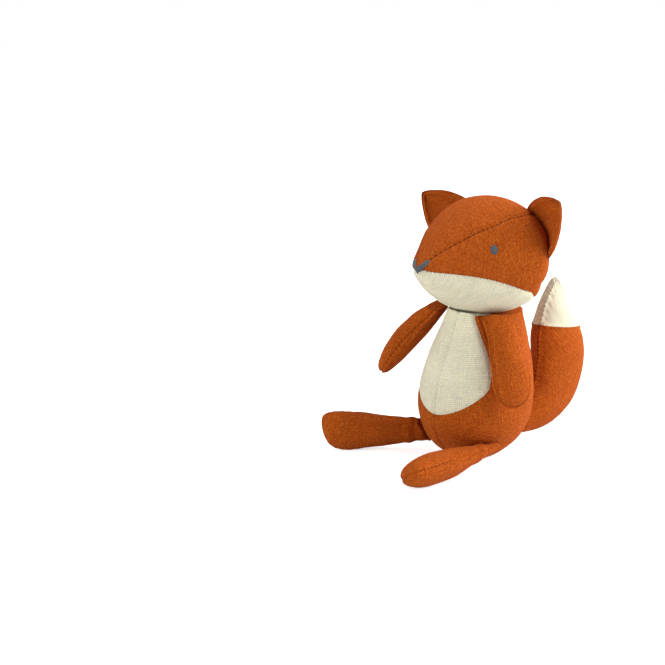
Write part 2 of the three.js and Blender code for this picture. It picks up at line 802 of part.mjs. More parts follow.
function arm(side, sign, point, edge, axis_y, range_degrees) {
  return {
    name: `arm_${side}`,
    length: arm_length,
    half_width: arm_half_width,
    half_thickness: arm_half_thickness,
    bow: arm_bow * -sign,
    slant: 0,
    rows: arm_station_shares,
    pivot: new THREE.Vector3(sign * shoulder_x, shoulder_y, shoulder_height),
    point,
    edge,
    axis_point: new THREE.Vector3(0, axis_y, shoulder_height),
    axis: new THREE.Vector3(-1, 0, 0),
    range_degrees,
    rooms: [body_room, head_room],
    outside: -sign,
  };
}

function leg(side, sign, point, edge, range_degrees) {
  const hip = new THREE.Vector3(sign * hip_x, hip_y, hip_height);
  return {
    name: `leg_${side}`,
    length: leg_length,
    half_width: leg_half_width,
    half_thickness: leg_half_thickness,
    bow: 0,
    slant: foot_slant,
    rows: leg_station_shares,
    pivot: hip,
    point,
    edge,
    axis_point: hip,
    axis: new THREE.Vector3(0, 0, sign),
    range_degrees,
    rooms: [body_room],
    outside: -sign,
  };
}

// Tail, whose two flat sides face left and right

function tailShape(inset, sides, count) {
  const last = tail_station_shares.length - 1;
  const rows = Array.from({ length: count + 1 }, (_, i) => {
    return stationAt(tail_station_shares, (i * last) / count, false);
  });
  const places = rows.map(([back_share, rise_share]) => {
    const y = tail_root_y + back_share * tail_reach;
    return new THREE.Vector3(0, y, tail_root_height + rise_share * (tail_height - inset));
  });
  return loft(rows.map(([, , width_share, thickness_share], i) => {
    const behind = places[Math.max(0, i - 1)];
    const ahead = places[Math.min(count, i + 1)];
    const along = new THREE.Vector3().subVectors(ahead, behind).normalize();
    const edge = new THREE.Vector3(0, along.z, -along.y);
    const half_width = width_share * (tail_half_width - inset);
    const half_thickness = thickness_share * (tail_half_thickness - inset);
    if (i === count) return [places[i]];
    return Array.from({ length: sides }, (_, k) => {
      const turn = (k / sides) * 2 * Math.PI;
      const point = places[i].clone().addScaledVector(edge, half_width * Math.cos(turn));
      return point.setX(half_thickness * Math.sin(turn));
    });
  }));
}

function buildTail() {
  const group = new THREE.Group();
  const tail = {
    axis_point: new THREE.Vector3(0, tail_root_y, 0),
    axis: upright,
    range_degrees: tail_wag_degrees,
  };
  const room = sweptRoom(tail, new THREE.Matrix4(), body_room).add(solidOf(below(0)));
  const cavity = solidOf(tailShape(cloth_thickness, limb_inner_sides, limb_inner_rings));
  const cover = solidOf(tailShape(0, limb_sides, limb_rings)).subtract(cavity).subtract(room);
  const slope = -THREE.MathUtils.degToRad(tip_slope_degrees);
  const tip_height = tail_root_height + tip_height_share * tail_height;
  const tip_y = tail_root_y + tail_reach;
  const sloped = (geometry) => solidOf(geometry.rotateX(slope).translate(0, tip_y, tip_height));
  const over_tip_seam = sloped(above(seam_gap / 2));
  const under_tip_seam = sloped(below(-seam_gap / 2));
  for (const [side, half] of sidesOf(seam_gap / 2)) {
    const panel = cover.intersect(half);
    addPiece(group, `tail_panel_${side}`, panel.intersect(under_tip_seam), orange_linen);
    addPiece(group, `tail_tip_${side}`, panel.intersect(over_tip_seam), cream_linen);
  }
  const filling = solidOf(tailShape(cloth_thickness + seam_gap, limb_inner_sides, limb_inner_rings));
  addPiece(group, "tail_filling", filling.subtract(room), fibre_filling);
  return group;
}

fox.add(buildBody());
fox.add(buildHead());
const arm_left = arm(
  "left",
  1,
  arm_left_drop,
  arm_left_edge,
  arm_left_axis_y,
  arm_left_swing_degrees,
);
fox.add(buildLimb(arm_left));
const arm_right = arm(
  "right",
  -1,
  arm_right_drop,
  arm_right_edge,
  arm_right_axis_y,
  arm_right_swing_degrees,
);
fox.add(buildLimb(arm_right));
fox.add(buildLimb(leg("left", 1, leg_left_point, leg_left_edge, leg_left_splay_degrees)));
fox.add(buildLimb(leg("right", -1, leg_right_point, upright, leg_right_splay_degrees)));
fox.add(buildTail());

export default fox;
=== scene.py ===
# %% [markdown]
# # A plush fox sewn from linen
#
# The fox sits on its seat. Its covers are sewn from coarse linen in two colours, turned right
# side out and stuffed with loose fibre. The solids of the toy come from a CAD part with joints,
# and this script dresses them: every stuffed cover is made again as a smooth padded skin with
# its seams, and the eyes and the nose are laid thread by thread.
#
# Stuffed cloth could be made by a cloth simulation under pressure, by sculpting, or by moving
# the vertices of a fine grid in code. The limbs of this fox lie close against its body and
# swing there without touching it, and every seam has a known place. So the grid was chosen:
# each form is a formula or a short table, and nothing has to settle.
#
# The fox looks along -Y, +Z is up, and its own left side is +X. Sizes are written in
# millimetres, as on a sewing pattern, and become metres only when a mesh is made.

import math

import bmesh
import bpy
import numpy as np
from mathutils import Matrix, Vector, noise


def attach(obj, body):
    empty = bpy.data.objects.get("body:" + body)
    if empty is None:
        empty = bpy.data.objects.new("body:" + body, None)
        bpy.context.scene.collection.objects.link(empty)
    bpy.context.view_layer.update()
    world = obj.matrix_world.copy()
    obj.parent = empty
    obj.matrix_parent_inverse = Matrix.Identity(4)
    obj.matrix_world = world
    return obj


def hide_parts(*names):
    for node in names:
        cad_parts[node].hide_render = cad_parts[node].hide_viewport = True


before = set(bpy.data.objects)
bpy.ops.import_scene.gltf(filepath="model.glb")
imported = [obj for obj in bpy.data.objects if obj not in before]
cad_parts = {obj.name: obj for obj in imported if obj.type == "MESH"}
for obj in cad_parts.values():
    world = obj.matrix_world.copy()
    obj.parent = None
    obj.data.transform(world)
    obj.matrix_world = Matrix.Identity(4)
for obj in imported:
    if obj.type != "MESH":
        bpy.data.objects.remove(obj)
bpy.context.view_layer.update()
bpy.ops.object.select_all(action="DESELECT")
METRES_PER_MM = 0.001

# %% [markdown]
# ## The camera
#
# The photograph looks down a little on the fox from its front left. A camera could be moved by
# hand until the picture looks right. Here its angle and distance were fitted to the fox in the
# photograph instead, because the distance decides how much larger the near leg looks than the
# far one. The camera comes first, so that every later step can be checked from it.

# %% Camera
azimuth = math.radians(49.2)
pitch = math.radians(13.0)
camera_data = bpy.data.cameras.new("camera")
camera_data.sensor_width = 36
camera_data.lens = 70.97
camera_data.clip_end = 20
camera = bpy.data.objects.new("camera", camera_data)
camera.location = (0.5205, -0.5645, 0.2519)
camera.rotation_euler = (math.pi / 2 - pitch, 0, azimuth)
bpy.context.scene.collection.objects.link(camera)
bpy.context.scene.camera = camera
print("camera", round(camera.location.length, 3), "m from the seat")

# %% [markdown]
# ## Smooth tables
#
# The shape of a stuffed part is known at a few stations, such as at the nose, the cheeks and
# the back of the head. Curve objects could join them, one for each width and height. A table
# keeps the whole section in one row instead, and a smooth curve through each of its columns
# gives every section between. At a round end the table is mirrored, so that the curve leaves
# it squarely.


# %% Rows between the rows of a table
def station(rows, t, round_start=False):
    """The rows at places t, where 0 is the first row of the table and 1 the next."""
    rows = np.array(rows, float)
    first = 2 * rows[0] - rows[1]
    last = 2 * rows[-1] - rows[-2]
    if round_start:
        first[0] = rows[1][0]
    last[0] = rows[-2][0]
    padded = np.vstack([first, rows, last])
    i = np.minimum(np.asarray(t).astype(int), len(rows) - 2)
    f = (t - i)[:, None]
    before, here, there, after = padded[i], padded[i + 1], padded[i + 2], padded[i + 3]
    slope = (there - before) / 2
    next_slope = (after - here) / 2
    bend = 3 * (there - here) - 2 * slope - next_slope
    return here + f * (slope + f * (bend + f * (slope + next_slope - 2 * (there - here))))


print("halfway from 0 to 1:", station([[0], [1]], np.array([0.5]))[0, 0])

# %% [markdown]
# ## Skins
#
# A stuffed cover is a grid of points: rings across the part, set out along it. A primitive
# could be pulled into shape instead, but then its cloth would have no threads to follow. Cloth
# is cut flat, so two lengths are kept for each point, measured over the surface: how far round
# its ring it lies and how far along the part. They become the cloth's own coordinates, and
# the threads of the weave follow them.
#
# Columns of the working table are x, y, z, across, along, distance from the nearest seam, place
# along that seam, and how plain that seam is to see: 1 for a deep valley, less for a faint one,
# below 0 for a raised edge, on which the linen paints a highlight and paints shade beside it.

# %% Grid of points with cloth coordinates
ACROSS, ALONG, SEAM, RUN, PLAINNESS, COLUMNS = 3, 4, 5, 6, 7, 8
FAR_FROM_SEAM = 50.0
TINY = 1e-9


def full_turn(columns):
    """The angles of the points of one ring."""
    return np.arange(columns) / columns * 2 * math.pi


def skin(points):
    """points has rings, columns and x, y, z. Returns the working table, and triangles."""
    rings, columns = points.shape[:2]
    step_round = np.linalg.norm(np.roll(points, -1, axis=1) - points, axis=2)
    across = np.concatenate([np.zeros((rings, 1)), np.cumsum(step_round, axis=1)[:, :-1]], axis=1)
    girth = step_round.sum(axis=1)[:, None]
    across = np.where(np.arange(columns)[None] <= columns // 2, across, across - girth)
    step_along = np.linalg.norm(np.diff(points, axis=0), axis=2)
    along = np.concatenate([np.zeros((1, columns)), np.cumsum(step_along, axis=0)])
    far = np.full_like(across, FAR_FROM_SEAM)
    extra = np.stack([across, along, far, along, np.ones_like(across)], axis=2)
    table = np.concatenate([points, extra], axis=2).reshape(-1, COLUMNS)
    i, j = np.meshgrid(np.arange(rings - 1), np.arange(columns), indexing="ij")
    k = (j + 1) % columns
    a, b = i * columns + j, i * columns + k
    c, d = a + columns, b + columns
    triangles = np.concatenate([np.stack([a, b, d], 2), np.stack([a, d, c], 2)]).reshape(-1, 3)
    return table, triangles


# %% Closed ends, and the seam round the edge of a leaf
CAP_RINGS = 12


def capped(points):
    """Closes the open first ring of a skin with smaller and smaller rings inside it."""
    middle = points[0].mean(axis=0)
    share = np.linspace(0, 1, CAP_RINGS, endpoint=False)[:, None, None]
    return np.concatenate([middle + (points[0] - middle) * share, points])


def edge_distance_of(table, columns):
    """How far each vertex lies from the two edges of a leaf. The cap has no seam."""
    across = np.abs(table[:, ACROSS])
    half_girth = np.repeat(across.reshape(-1, columns).max(axis=1), columns)
    distance = np.minimum(across, half_girth - across)
    distance[: CAP_RINGS * columns] = FAR_FROM_SEAM
    return distance


# %% Directions and soft sections
def unit(vector):
    return np.array(vector, float) / np.linalg.norm(vector)


def bell(share):
    """The section of a soft ridge: 1 at zero, 0.37 at one and next to nothing at two."""
    return np.exp(-(share**2))


def normals_of(table, triangles):
    """The way out at every vertex, the same for vertices that share a place."""
    a, b, c = (table[triangles[:, k], :3] for k in range(3))
    face = np.cross(b - a, c - a)
    total = np.zeros((len(table), 3))
    for k in range(3):
        for axis in range(3):
            total[:, axis] += np.bincount(triangles[:, k], face[:, axis], len(table))
    place = np.round(table[:, :3], 4)
    _, same = np.unique(place, axis=0, return_inverse=True)
    same = same.reshape(-1)
    for axis in range(3):
        total[:, axis] = np.bincount(same, total[:, axis])[same]
    return total / np.maximum(np.linalg.norm(total, axis=1), 1e-12)[:, None]


def push_out(table, triangles, amount):
    """Moves every vertex out of the surface by its own amount."""
    table[:, :3] += normals_of(table, triangles) * amount[:, None]


print("a bell one width from its middle:", round(float(bell(1.0)), 3))

# %% [markdown]
# ## Seams
#
# A seam is where two panels were sewn together inside out. Turned right side out, it is a
# narrow valley, and the filling swells on both sides of it. It could be cut into the mesh by
# hand as a loop of edges. Here it is the line where a simple field is zero, such as the
# distance from the patch's outline seen from the front, because a field can be moved without
# a change to the grid. The field divided by its slope along the surface gives the distance over
# the cloth. The skin is pressed in along that line and then cut there, so the panels meet in it.


# %% Distance from an outline
def outline_field(outline, u, v):
    """Signed distance inside a closed outline, and the length along it to the nearest point."""
    outline = np.array(outline, float)
    ends = np.roll(outline, -1, axis=0)
    runs = np.concatenate([[0], np.cumsum(np.linalg.norm(ends - outline, axis=1))])
    nearest = np.full(len(u), np.inf)
    run = np.zeros(len(u))
    inside = np.zeros(len(u), bool)
    for (ax, ay), (bx, by), start in zip(outline, ends, runs):
        dx, dy = bx - ax, by - ay
        length = math.hypot(dx, dy)
        if length < TINY:
            continue
        share = np.clip(((u - ax) * dx + (v - ay) * dy) / length**2, 0, 1)
        distance = np.hypot(u - ax - share * dx, v - ay - share * dy)
        closer = distance < nearest
        nearest[closer] = distance[closer]
        run[closer] = start + share[closer] * length
        crosses = (ay > v) != (by > v)
        with np.errstate(divide="ignore", invalid="ignore"):
            inside ^= crosses & (u < (bx - ax) * (v - ay) / (by - ay) + ax)
    return np.where(inside, nearest, -nearest), run


# %% Distance over the surface
LEAST_SLOPE = 0.05


def over_surface(table, triangles, field):
    """Turns a field into the distance over the surface from where it is zero."""
    a, b, c = (table[triangles[:, k], :3] for k in range(3))
    fa, fb, fc = (field[triangles[:, k]] for k in range(3))
    normal = np.cross(b - a, c - a)
    area = np.maximum(np.linalg.norm(normal, axis=1), TINY)
    out = normal / area[:, None]
    slope = np.cross(out, c - b) * fa[:, None] + np.cross(out, a - c) * fb[:, None]
    slope = (slope + np.cross(out, b - a) * fc[:, None]) / area[:, None]
    steepness = np.linalg.norm(slope, axis=1)
    total = np.zeros(len(table))
    weight = np.zeros(len(table))
    for k in range(3):
        total += np.bincount(triangles[:, k], steepness * area, len(table))
        weight += np.bincount(triangles[:, k], area, len(table))
    return np.abs(field) / np.maximum(total / np.maximum(weight, TINY), LEAST_SLOPE)


# %% Mark a seam, and press the marked seams in
CREASE_REACH, CREASE_START, CREASE_DEPTH = 4.5, 1.0, 0.16
CREASE_SPACING, CREASE_DRIFT, DRIFT_LENGTH = 5.3, 1.7, 6.1


def mark_seam(table, distance, run, plainness=1.0):
    """Notes the seam on every vertex to which it is the nearest one so far."""
    closer = distance < table[:, SEAM]
    table[closer, SEAM] = distance[closer]
    table[closer, RUN] = run[closer]
    table[closer, PLAINNESS] = plainness


def press_seams(table, triangles, depth=1.0, width=1.5):
    """Presses each seam in, or raises it, and draws the cloth into small creases beside it."""
    distance, run, plainness = table[:, SEAM], table[:, RUN], table[:, PLAINNESS]
    amount = depth * bell(distance / width) * np.sign(plainness)
    beside = bell(distance / CREASE_REACH) - bell(distance / CREASE_START)
    drift = CREASE_DRIFT * np.sin(run / DRIFT_LENGTH)
    crease = np.sin(run * 2 * math.pi / CREASE_SPACING + drift)
    amount = amount + CREASE_DEPTH * beside * crease * np.abs(plainness)
    push_out(table, triangles, -amount)


# %% Uneven filling
SLACK = 0.3


def fill_unevenly(table, triangles, amount=0.45, size=17.0):
    """The loose fibre inside swells the cloth a little more in some places than in others."""
    swell = np.array([noise.noise(Vector(place)) for place in (table[:, :3] / size).tolist()])
    push_out(table, triangles, amount * (swell - SLACK))


# %% Cut a skin along a line
def turned_rows(rows, first):
    """Each row of three turned so that the place named by first comes first."""
    order = (first[:, None] + np.arange(3)[None]) % 3
    return np.take_along_axis(rows, order, axis=1)


def clip(table, triangles, field):
    """The part of a skin where the field is positive, cut cleanly where it is zero."""
    inside = field[triangles] > 0
    count = inside.sum(axis=1)
    one = turned_rows(triangles[count == 1], inside[count == 1].argmax(axis=1))
    two = turned_rows(triangles[count == 2], (~inside[count == 2]).argmax(axis=1))
    pairs = np.concatenate([one[:, [0, 1]], one[:, [0, 2]], two[:, [0, 1]], two[:, [0, 2]]])
    edges, index = np.unique(np.sort(pairs, axis=1), axis=0, return_inverse=True)
    index = index.reshape(-1) + len(table)
    share = field[edges[:, 0]] / (field[edges[:, 0]] - field[edges[:, 1]])
    added = table[edges[:, 0]] * (1 - share[:, None]) + table[edges[:, 1]] * share[:, None]
    n, m = len(one), len(two)
    p, q = index[:n], index[n : 2 * n]
    r, s = index[2 * n : 2 * n + m], index[2 * n + m :]
    kept = np.concatenate([
        triangles[count == 3],
        np.stack([one[:, 0], p, q], axis=1),
        np.stack([r, two[:, 1], two[:, 2]], axis=1),
        np.stack([r, two[:, 2], s], axis=1),
    ])
    used, renamed = np.unique(kept, return_inverse=True)
    return np.concatenate([table, added])[used], renamed.reshape(-1, 3)


corner_cut = clip(np.eye(3), np.array([[0, 1, 2]]), np.array([1.0, -1.0, -1.0]))
print("a triangle cut at one corner keeps", len(corner_cut[1]), "triangle")

# %% [markdown]
# ## Cloth pieces
#
# On the real fox each cover is its own piece of linen. One function turns a skin into such an
# object: it closes the poles, keeps the cloth coordinates as a UV map, and keeps the distance
# from the seam as attributes that the linen material reads. They could be painted or unwrapped
# later, but the grid knows them already. Each piece hides the CAD solids that it stands for,
# and rides the body that carries it.


# %% Make one piece of cloth
def make_piece(name, table, triangles, material, body, replaced):
    """One cover as an object. It rides a body and stands for the solids that it replaces."""
    mesh = bpy.data.meshes.new(name)
    mesh.from_pydata((table[:, :3] * METRES_PER_MM).tolist(), [], triangles.tolist())
    mesh.update()
    layer = mesh.uv_layers.new(name="UVMap")
    corners = np.zeros(len(mesh.loops), np.int32)
    mesh.loops.foreach_get("vertex_index", corners)
    layer.data.foreach_set("uv", table[corners, ACROSS : ALONG + 1].astype(np.float32).reshape(-1))
    for label, column in (("seam", SEAM), ("run", RUN), ("plainness", PLAINNESS)):
        attribute = mesh.attributes.new(label, "FLOAT", "POINT")
        attribute.data.foreach_set("value", table[:, column].astype(np.float32))
    work = bmesh.new()
    work.from_mesh(mesh)
    bmesh.ops.remove_doubles(work, verts=work.verts, dist=1e-6)
    bmesh.ops.dissolve_degenerate(work, edges=work.edges, dist=1e-7)
    work.to_mesh(mesh)
    work.free()
    mesh.polygons.foreach_set("use_smooth", [True] * len(mesh.polygons))
    mesh.materials.append(material)
    piece = bpy.data.objects.new(name, mesh)
    bpy.context.scene.collection.objects.link(piece)
    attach(piece, body)
    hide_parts(*replaced)
    print(name, len(mesh.polygons), "triangles")


# %% [markdown]
# ## Linen
#
# The cloth is a plain weave of thick, uneven threads, about nine to the centimetre. The threads
# could be modelled one by one, but at this size a bump looks the same at far less cost. A warp
# and a weft thread cross in every cell, and they take turns on top as on a chessboard. The
# product of two sines says which one is on top, and the height of that thread makes the bump.
# Linen yarn has thick places, called slubs, so each thread gets its own slow noise along its
# length, which lightens or darkens it. Between the threads the cloth is darker.
#
# Shader nodes are easier to read as sums, so a small class lets sockets be added and
# multiplied like numbers.


# %% Sockets as numbers
class Signal:
    """The output of a shader node, which can be used in sums and products."""

    def __init__(self, tree, socket):
        self.tree = tree
        self.socket = socket

    def node(self, kind, inputs, output=0, **settings):
        """Any node: inputs maps names or numbers of its sockets to signals or plain values."""
        made = self.tree.nodes.new(kind)
        for name, value in settings.items():
            setattr(made, name, value)
        for key, value in inputs.items():
            if isinstance(value, Signal):
                self.tree.links.new(value.socket, made.inputs[key])
            else:
                made.inputs[key].default_value = value
        return Signal(self.tree, made.outputs[output])

    def math(self, operation, *values):
        inputs = dict(enumerate(values))
        return self.node("ShaderNodeMath", inputs, operation=operation)

    def __add__(self, other):
        return self.math("ADD", self, other)

    def __sub__(self, other):
        return self.math("SUBTRACT", self, other)

    def __mul__(self, other):
        return self.math("MULTIPLY", self, other)

    def __truediv__(self, other):
        return self.math("DIVIDE", self, other)

    def __radd__(self, other):
        return self.math("ADD", other, self)

    def __rsub__(self, other):
        return self.math("SUBTRACT", other, self)

    def __rmul__(self, other):
        return self.math("MULTIPLY", other, self)

    def power(self, other):
        return self.math("POWER", self, other)

    def sine(self):
        return self.math("SINE", self)

    def size(self):
        return self.math("ABSOLUTE", self)

    def floor(self):
        return self.math("FLOOR", self)

    def larger(self, other):
        return self.math("MAXIMUM", self, other)

    def limited(self, low=0.0, high=1.0):
        return self.math("MAXIMUM", self.math("MINIMUM", self, high), low)

    def bell(self, width):
        """1 where the signal is zero, and next to nothing at twice the width."""
        share = self / width
        return self.math("EXPONENT", 0 - share * share)

    def noise(self, across, along, depth, detail=2.0):
        """Smooth noise around 0, from -1 to 1, at a place given by three signals or numbers."""
        place = self.node("ShaderNodeCombineXYZ", {0: across, 1: along, 2: depth})
        cloud = self.node("ShaderNodeTexNoise", {"Vector": place, "Scale": 1.0, "Detail": detail})
        return cloud * 2.0 - 1.0

    def mixed(self, from_colour, to_colour):
        """A colour between two others, by this signal as the share of the second."""
        inputs = {0: self, 6: from_colour, 7: to_colour}
        return self.node("ShaderNodeMix", inputs, output=2, data_type="RGBA")

    def tinted(self, colour):
        """A colour made brighter or darker by this signal."""
        return self.node("ShaderNodeVectorMath", {0: colour, "Scale": self}, operation="SCALE")


# %% Colours and new materials
def linear(red, green, blue):
    """A colour as seen on a screen, 0 to 255, in the units that a shader calculates with."""
    shares = [value / 255 for value in (red, green, blue)]
    return [s / 12.92 if s <= 0.04045 else ((s + 0.055) / 1.055) ** 2.4 for s in shares]


def new_material(name):
    material = bpy.data.materials.new(name)
    material.use_nodes = True
    tree = material.node_tree
    shader = tree.nodes["Principled BSDF"]
    return material, tree, shader


print("half grey on a screen is", round(linear(128, 128, 128)[0], 3), "to a shader")

# %% The weave
THREAD_PITCH = 1.12
DRIFT_SIZE, SWAY_SIZE, SWAY = 9.0, 11.0, 0.5
WOBBLE_WIDTH, WOBBLE_LENGTH, WOBBLE = 1.3, 30.0, 0.32
SLUB_LENGTH, NEXT_THREAD = 6.0, 7.31


def weave(across, along):
    """The height of the thread on top, and how light that thread is, at a place on the cloth."""
    drift = across.noise(across / DRIFT_SIZE, along / DRIFT_SIZE, 3.0)
    sway = across.noise(across / SWAY_SIZE, along / SWAY_SIZE, 8.0)
    warp_wobble = across.noise(across / WOBBLE_WIDTH, along / WOBBLE_LENGTH, 11.0)
    weft_wobble = across.noise(across / WOBBLE_LENGTH, along / WOBBLE_WIDTH, 14.0)
    a = across / THREAD_PITCH + drift * SWAY + warp_wobble * WOBBLE
    b = along / THREAD_PITCH + sway * SWAY + weft_wobble * WOBBLE
    wave_a = (a * math.pi).sine()
    wave_b = (b * math.pi).sine()
    over = wave_a * wave_b
    warp = wave_a.size().power(0.6) * (over * 0.5 + 0.5)
    weft = wave_b.size().power(0.6) * (0.5 - over * 0.5)
    warp_tone = across.noise(a.floor() * NEXT_THREAD, along / SLUB_LENGTH, 5.0)
    weft_tone = across.noise(across / SLUB_LENGTH, b.floor() * NEXT_THREAD, 1.0)
    on_top = (over * 3.0 + 0.5).limited()
    return warp.larger(weft), warp_tone * on_top + weft_tone * (1.0 - on_top)


# %% The look of a seam
STITCH_PITCH = 2.8
VALLEY_WIDTH, SHOULDER_WIDTH = 0.4, 1.7
# Width and strength of the painted shade in a band beside a raised seam.
SHADE_OUTER, SHADE_INNER, SHADE = 1.9, 0.8, 0.45


def seam_look(uv, darkness):
    """How much darker the cloth is along a sunk seam, with a painted highlight along a raised seam and
    painted shade beside it; and how far the stitches pucker it.
    """
    distance, run, plainness = (
        uv.node("ShaderNodeAttribute", {}, output=2, attribute_name=label)
        for label in ("seam", "run", "plainness")
    )
    pucker = (run * (2 * math.pi / STITCH_PITCH)).sine()
    # Where plainness is below 0 this line is negative, which is a painted highlight on the raised ridge.
    line = distance.bell(VALLEY_WIDTH) * plainness * (darkness * (1.0 + 0.7 * pucker))
    # Painted shade in a band beside a raised seam.
    raised = (0.0 - plainness).limited()
    shade = (distance.bell(SHADE_OUTER) - distance.bell(SHADE_INNER)) * raised
    return line + shade * SHADE, distance.bell(SHOULDER_WIDTH) * plainness * pucker


# %% The linen material
CLOUD_SIZE, FUZZ_SIZE, SPECK_SIZE = 24.0, 0.7, 1.6


def linen(name, cloth, slub, slub_strength, seam_darkness, sheen, contrast):
    """Woven cloth of one colour, with slubs of another in its threads."""
    material, tree, shader = new_material(name)
    uv_node = tree.nodes.new("ShaderNodeUVMap")
    uv_node.uv_map = "UVMap"
    uv = Signal(tree, uv_node.outputs[0])
    across = uv.node("ShaderNodeSeparateXYZ", {0: uv}, output=0)
    along = uv.node("ShaderNodeSeparateXYZ", {0: uv}, output=1)
    height, tone = weave(across, along)
    line, puckers = seam_look(uv, seam_darkness)
    clouds = uv.noise(across / CLOUD_SIZE, along / CLOUD_SIZE, 2.0, detail=3.0)
    fuzz = uv.noise(across / FUZZ_SIZE, along / FUZZ_SIZE, 6.0)
    specks = uv.noise(across / SPECK_SIZE, along / SPECK_SIZE, 17.0, detail=3.0)

    slub_share = (0.3 + tone * 0.4 + specks * 0.9 + fuzz * 0.8).limited() * slub_strength
    light = (0.60 + 0.45 * height) * (1.0 + contrast * (0.26 * tone + 0.10 * clouds))
    mottle = contrast * (0.18 * fuzz + 0.22 * specks)
    light = light * (1.0 + mottle) * (1.0 - line).limited(0.0, 1.4)
    colour = light.tinted(slub_share.mixed((*cloth, 1), (*slub, 1)))
    tree.links.new(colour.socket, shader.inputs["Base Color"])

    relief = 0.18 * height + 0.12 * fuzz + 0.06 * tone + puckers * 0.12
    bump = relief.node("ShaderNodeBump", {"Height": relief, "Distance": 0.001, "Strength": 0.9})
    tree.links.new(bump.socket, shader.inputs["Normal"])
    shader.inputs["Roughness"].default_value = 0.95
    shader.inputs["Specular IOR Level"].default_value = 0.15
    shader.inputs["Sheen Weight"].default_value = sheen
    shader.inputs["Sheen Roughness"].default_value = 0.6
    shader.inputs["Sheen Tint"].default_value = (*[min(1, c * 1.6 + 0.05) for c in cloth], 1)
    return material


# %% The two linens of the fox
rust, rust_slub = linear(177, 74, 5), linear(206, 124, 46)
undyed, undyed_slub = linear(248, 245, 220), linear(202, 186, 140)
orange_linen = linen("rust_linen_cloth", rust, rust_slub, 0.5, 0.6, 0.12, 1.15)
cream_linen = linen("undyed_linen_cloth", undyed, undyed_slub, 0.75, 0.3, 0.1, 1.5)
print("materials:", orange_linen.name, cream_linen.name)

# %% [markdown]
# ## The body
#
# The body is a stuffed pear that sits flat, leans back a little towards the neck, and carries
# a cream patch in front. It could be five panels blown up separately, but their edges would
# have to be sewn together afterwards. So one closed skin is made for the whole body, its seams
# are pressed in, and then it is cut into the panels that a sewer would cut.

# %% Body sections
belly_radius, belly_height, neck_radius, neck_height = 34.6, 35.0, 21.5, 90.0
seat_shift, neck_shift = -3.0, 7.0
neck_fullness, neck_lean = 1.2, 2.0
oval_across, oval_along = 0.97, 1.03
pear_power, lean_power = 1.3, 1.6
# The pear would end this far below the floor, where it is cut flat.
seat_drop = 1


def body_radius(height, clearance=0.0):
    """The neck is a little fuller than the frame's, as the filling pushes the cloth out."""
    deepest = belly_height + seat_drop
    lower = np.clip((belly_height - height) / (deepest + clearance), 0, 1)
    lower_radius = (belly_radius + clearance) * (1 - lower**2) ** (1 / 2)
    rise = np.clip((height - belly_height) / (neck_height - belly_height), 0, 1)
    full = neck_radius + neck_fullness
    upper_radius = full + (belly_radius - full) * (1 - rise**2) ** pear_power + clearance
    return np.where(height < belly_height, lower_radius, upper_radius)


def body_shift(height):
    """How far back the middle of the body lies. The lean grows towards the neck."""
    rise = np.clip(height / neck_height, 0, None)
    return seat_shift + (neck_shift - neck_lean - seat_shift) * rise**lean_power


print("body radius at the seat, belly and neck:", body_radius(np.array([0, 35, 90])).round(1))


# %% Body skin
def body_points(columns=288, low_rings=64, high_rings=76, lid_rings=16):
    turn = np.linspace(0, math.pi / 2, low_rings)
    low = belly_height - (belly_height + seat_drop) * np.cos(turn)
    high = np.linspace(belly_height, neck_height, high_rings)[1:]
    height = np.concatenate([low, high, np.full(lid_rings, neck_height)])
    radius = body_radius(height)
    radius[-lid_rings:] *= np.linspace(1, 0, lid_rings + 1)[1:]
    radius[0] = 0
    angle = full_turn(columns) - math.pi / 2
    x = radius[:, None] * oval_across * np.cos(angle)
    y = body_shift(height)[:, None] + radius[:, None] * oval_along * np.sin(angle)
    z = np.repeat(np.maximum(height, 0)[:, None], columns, axis=1)
    return np.stack([x, y, z], axis=2)


# %% Outline of the cream patch, seen from the front
patch_half_width, patch_top_left, patch_top_right = 27, 10.8, 14.5
patch_widest, patch_bottom, patch_roundness = 50, 32, 1.7
past_neck = 30


def patch_outline(steps=40):
    turn = np.linspace(0, math.pi / 2, steps)
    out = patch_half_width * np.sin(turn) ** (2 / patch_roundness)
    up = patch_widest - (patch_widest - patch_bottom) * np.cos(turn) ** (2 / patch_roundness)
    rise = np.linspace(0, 1, steps)[1:]
    up = np.concatenate([up, patch_widest + (neck_height - patch_widest) * rise, [neck_height + past_neck]])
    narrowing = (1 - rise**2) ** pear_power
    left, right = (
        np.concatenate([out, top + (patch_half_width - top) * narrowing, [top]])
        for top in (patch_top_left, patch_top_right)
    )
    return [*zip(left, up), *zip(-right[:0:-1], up[:0:-1])]


print("patch outline:", len(patch_outline()), "points")

# %% Press the body's seams
rim_start, rim_fade, rim_rise = 82, 8, 0.35
table, triangles = skin(body_points())
fill_unevenly(table, triangles)
table[:, 2] = np.clip(table[:, 2], 0, neck_height)
rim = np.clip(np.hypot(table[:, 0], table[:, 1] - neck_shift) - neck_radius, 0, None)
table[:, 2] += rim_rise * rim * np.clip((table[:, 2] - rim_start) / rim_fade, 0, 1)
patch, patch_run = outline_field(patch_outline(), table[:, 0], table[:, 2])
front = table[:, 1] < body_shift(table[:, 2])
patch_distance = np.where(front, over_surface(table, triangles, patch), FAR_FROM_SEAM)
mark_seam(table, patch_distance, patch_run, 0.7)
mark_seam(table, over_surface(table, triangles, table[:, 0]), table[:, ALONG], 0.5)
press_seams(table, triangles, depth=0.8, width=1.4)
print("vertices close to a seam:", int((table[:, SEAM] < 1).sum()))

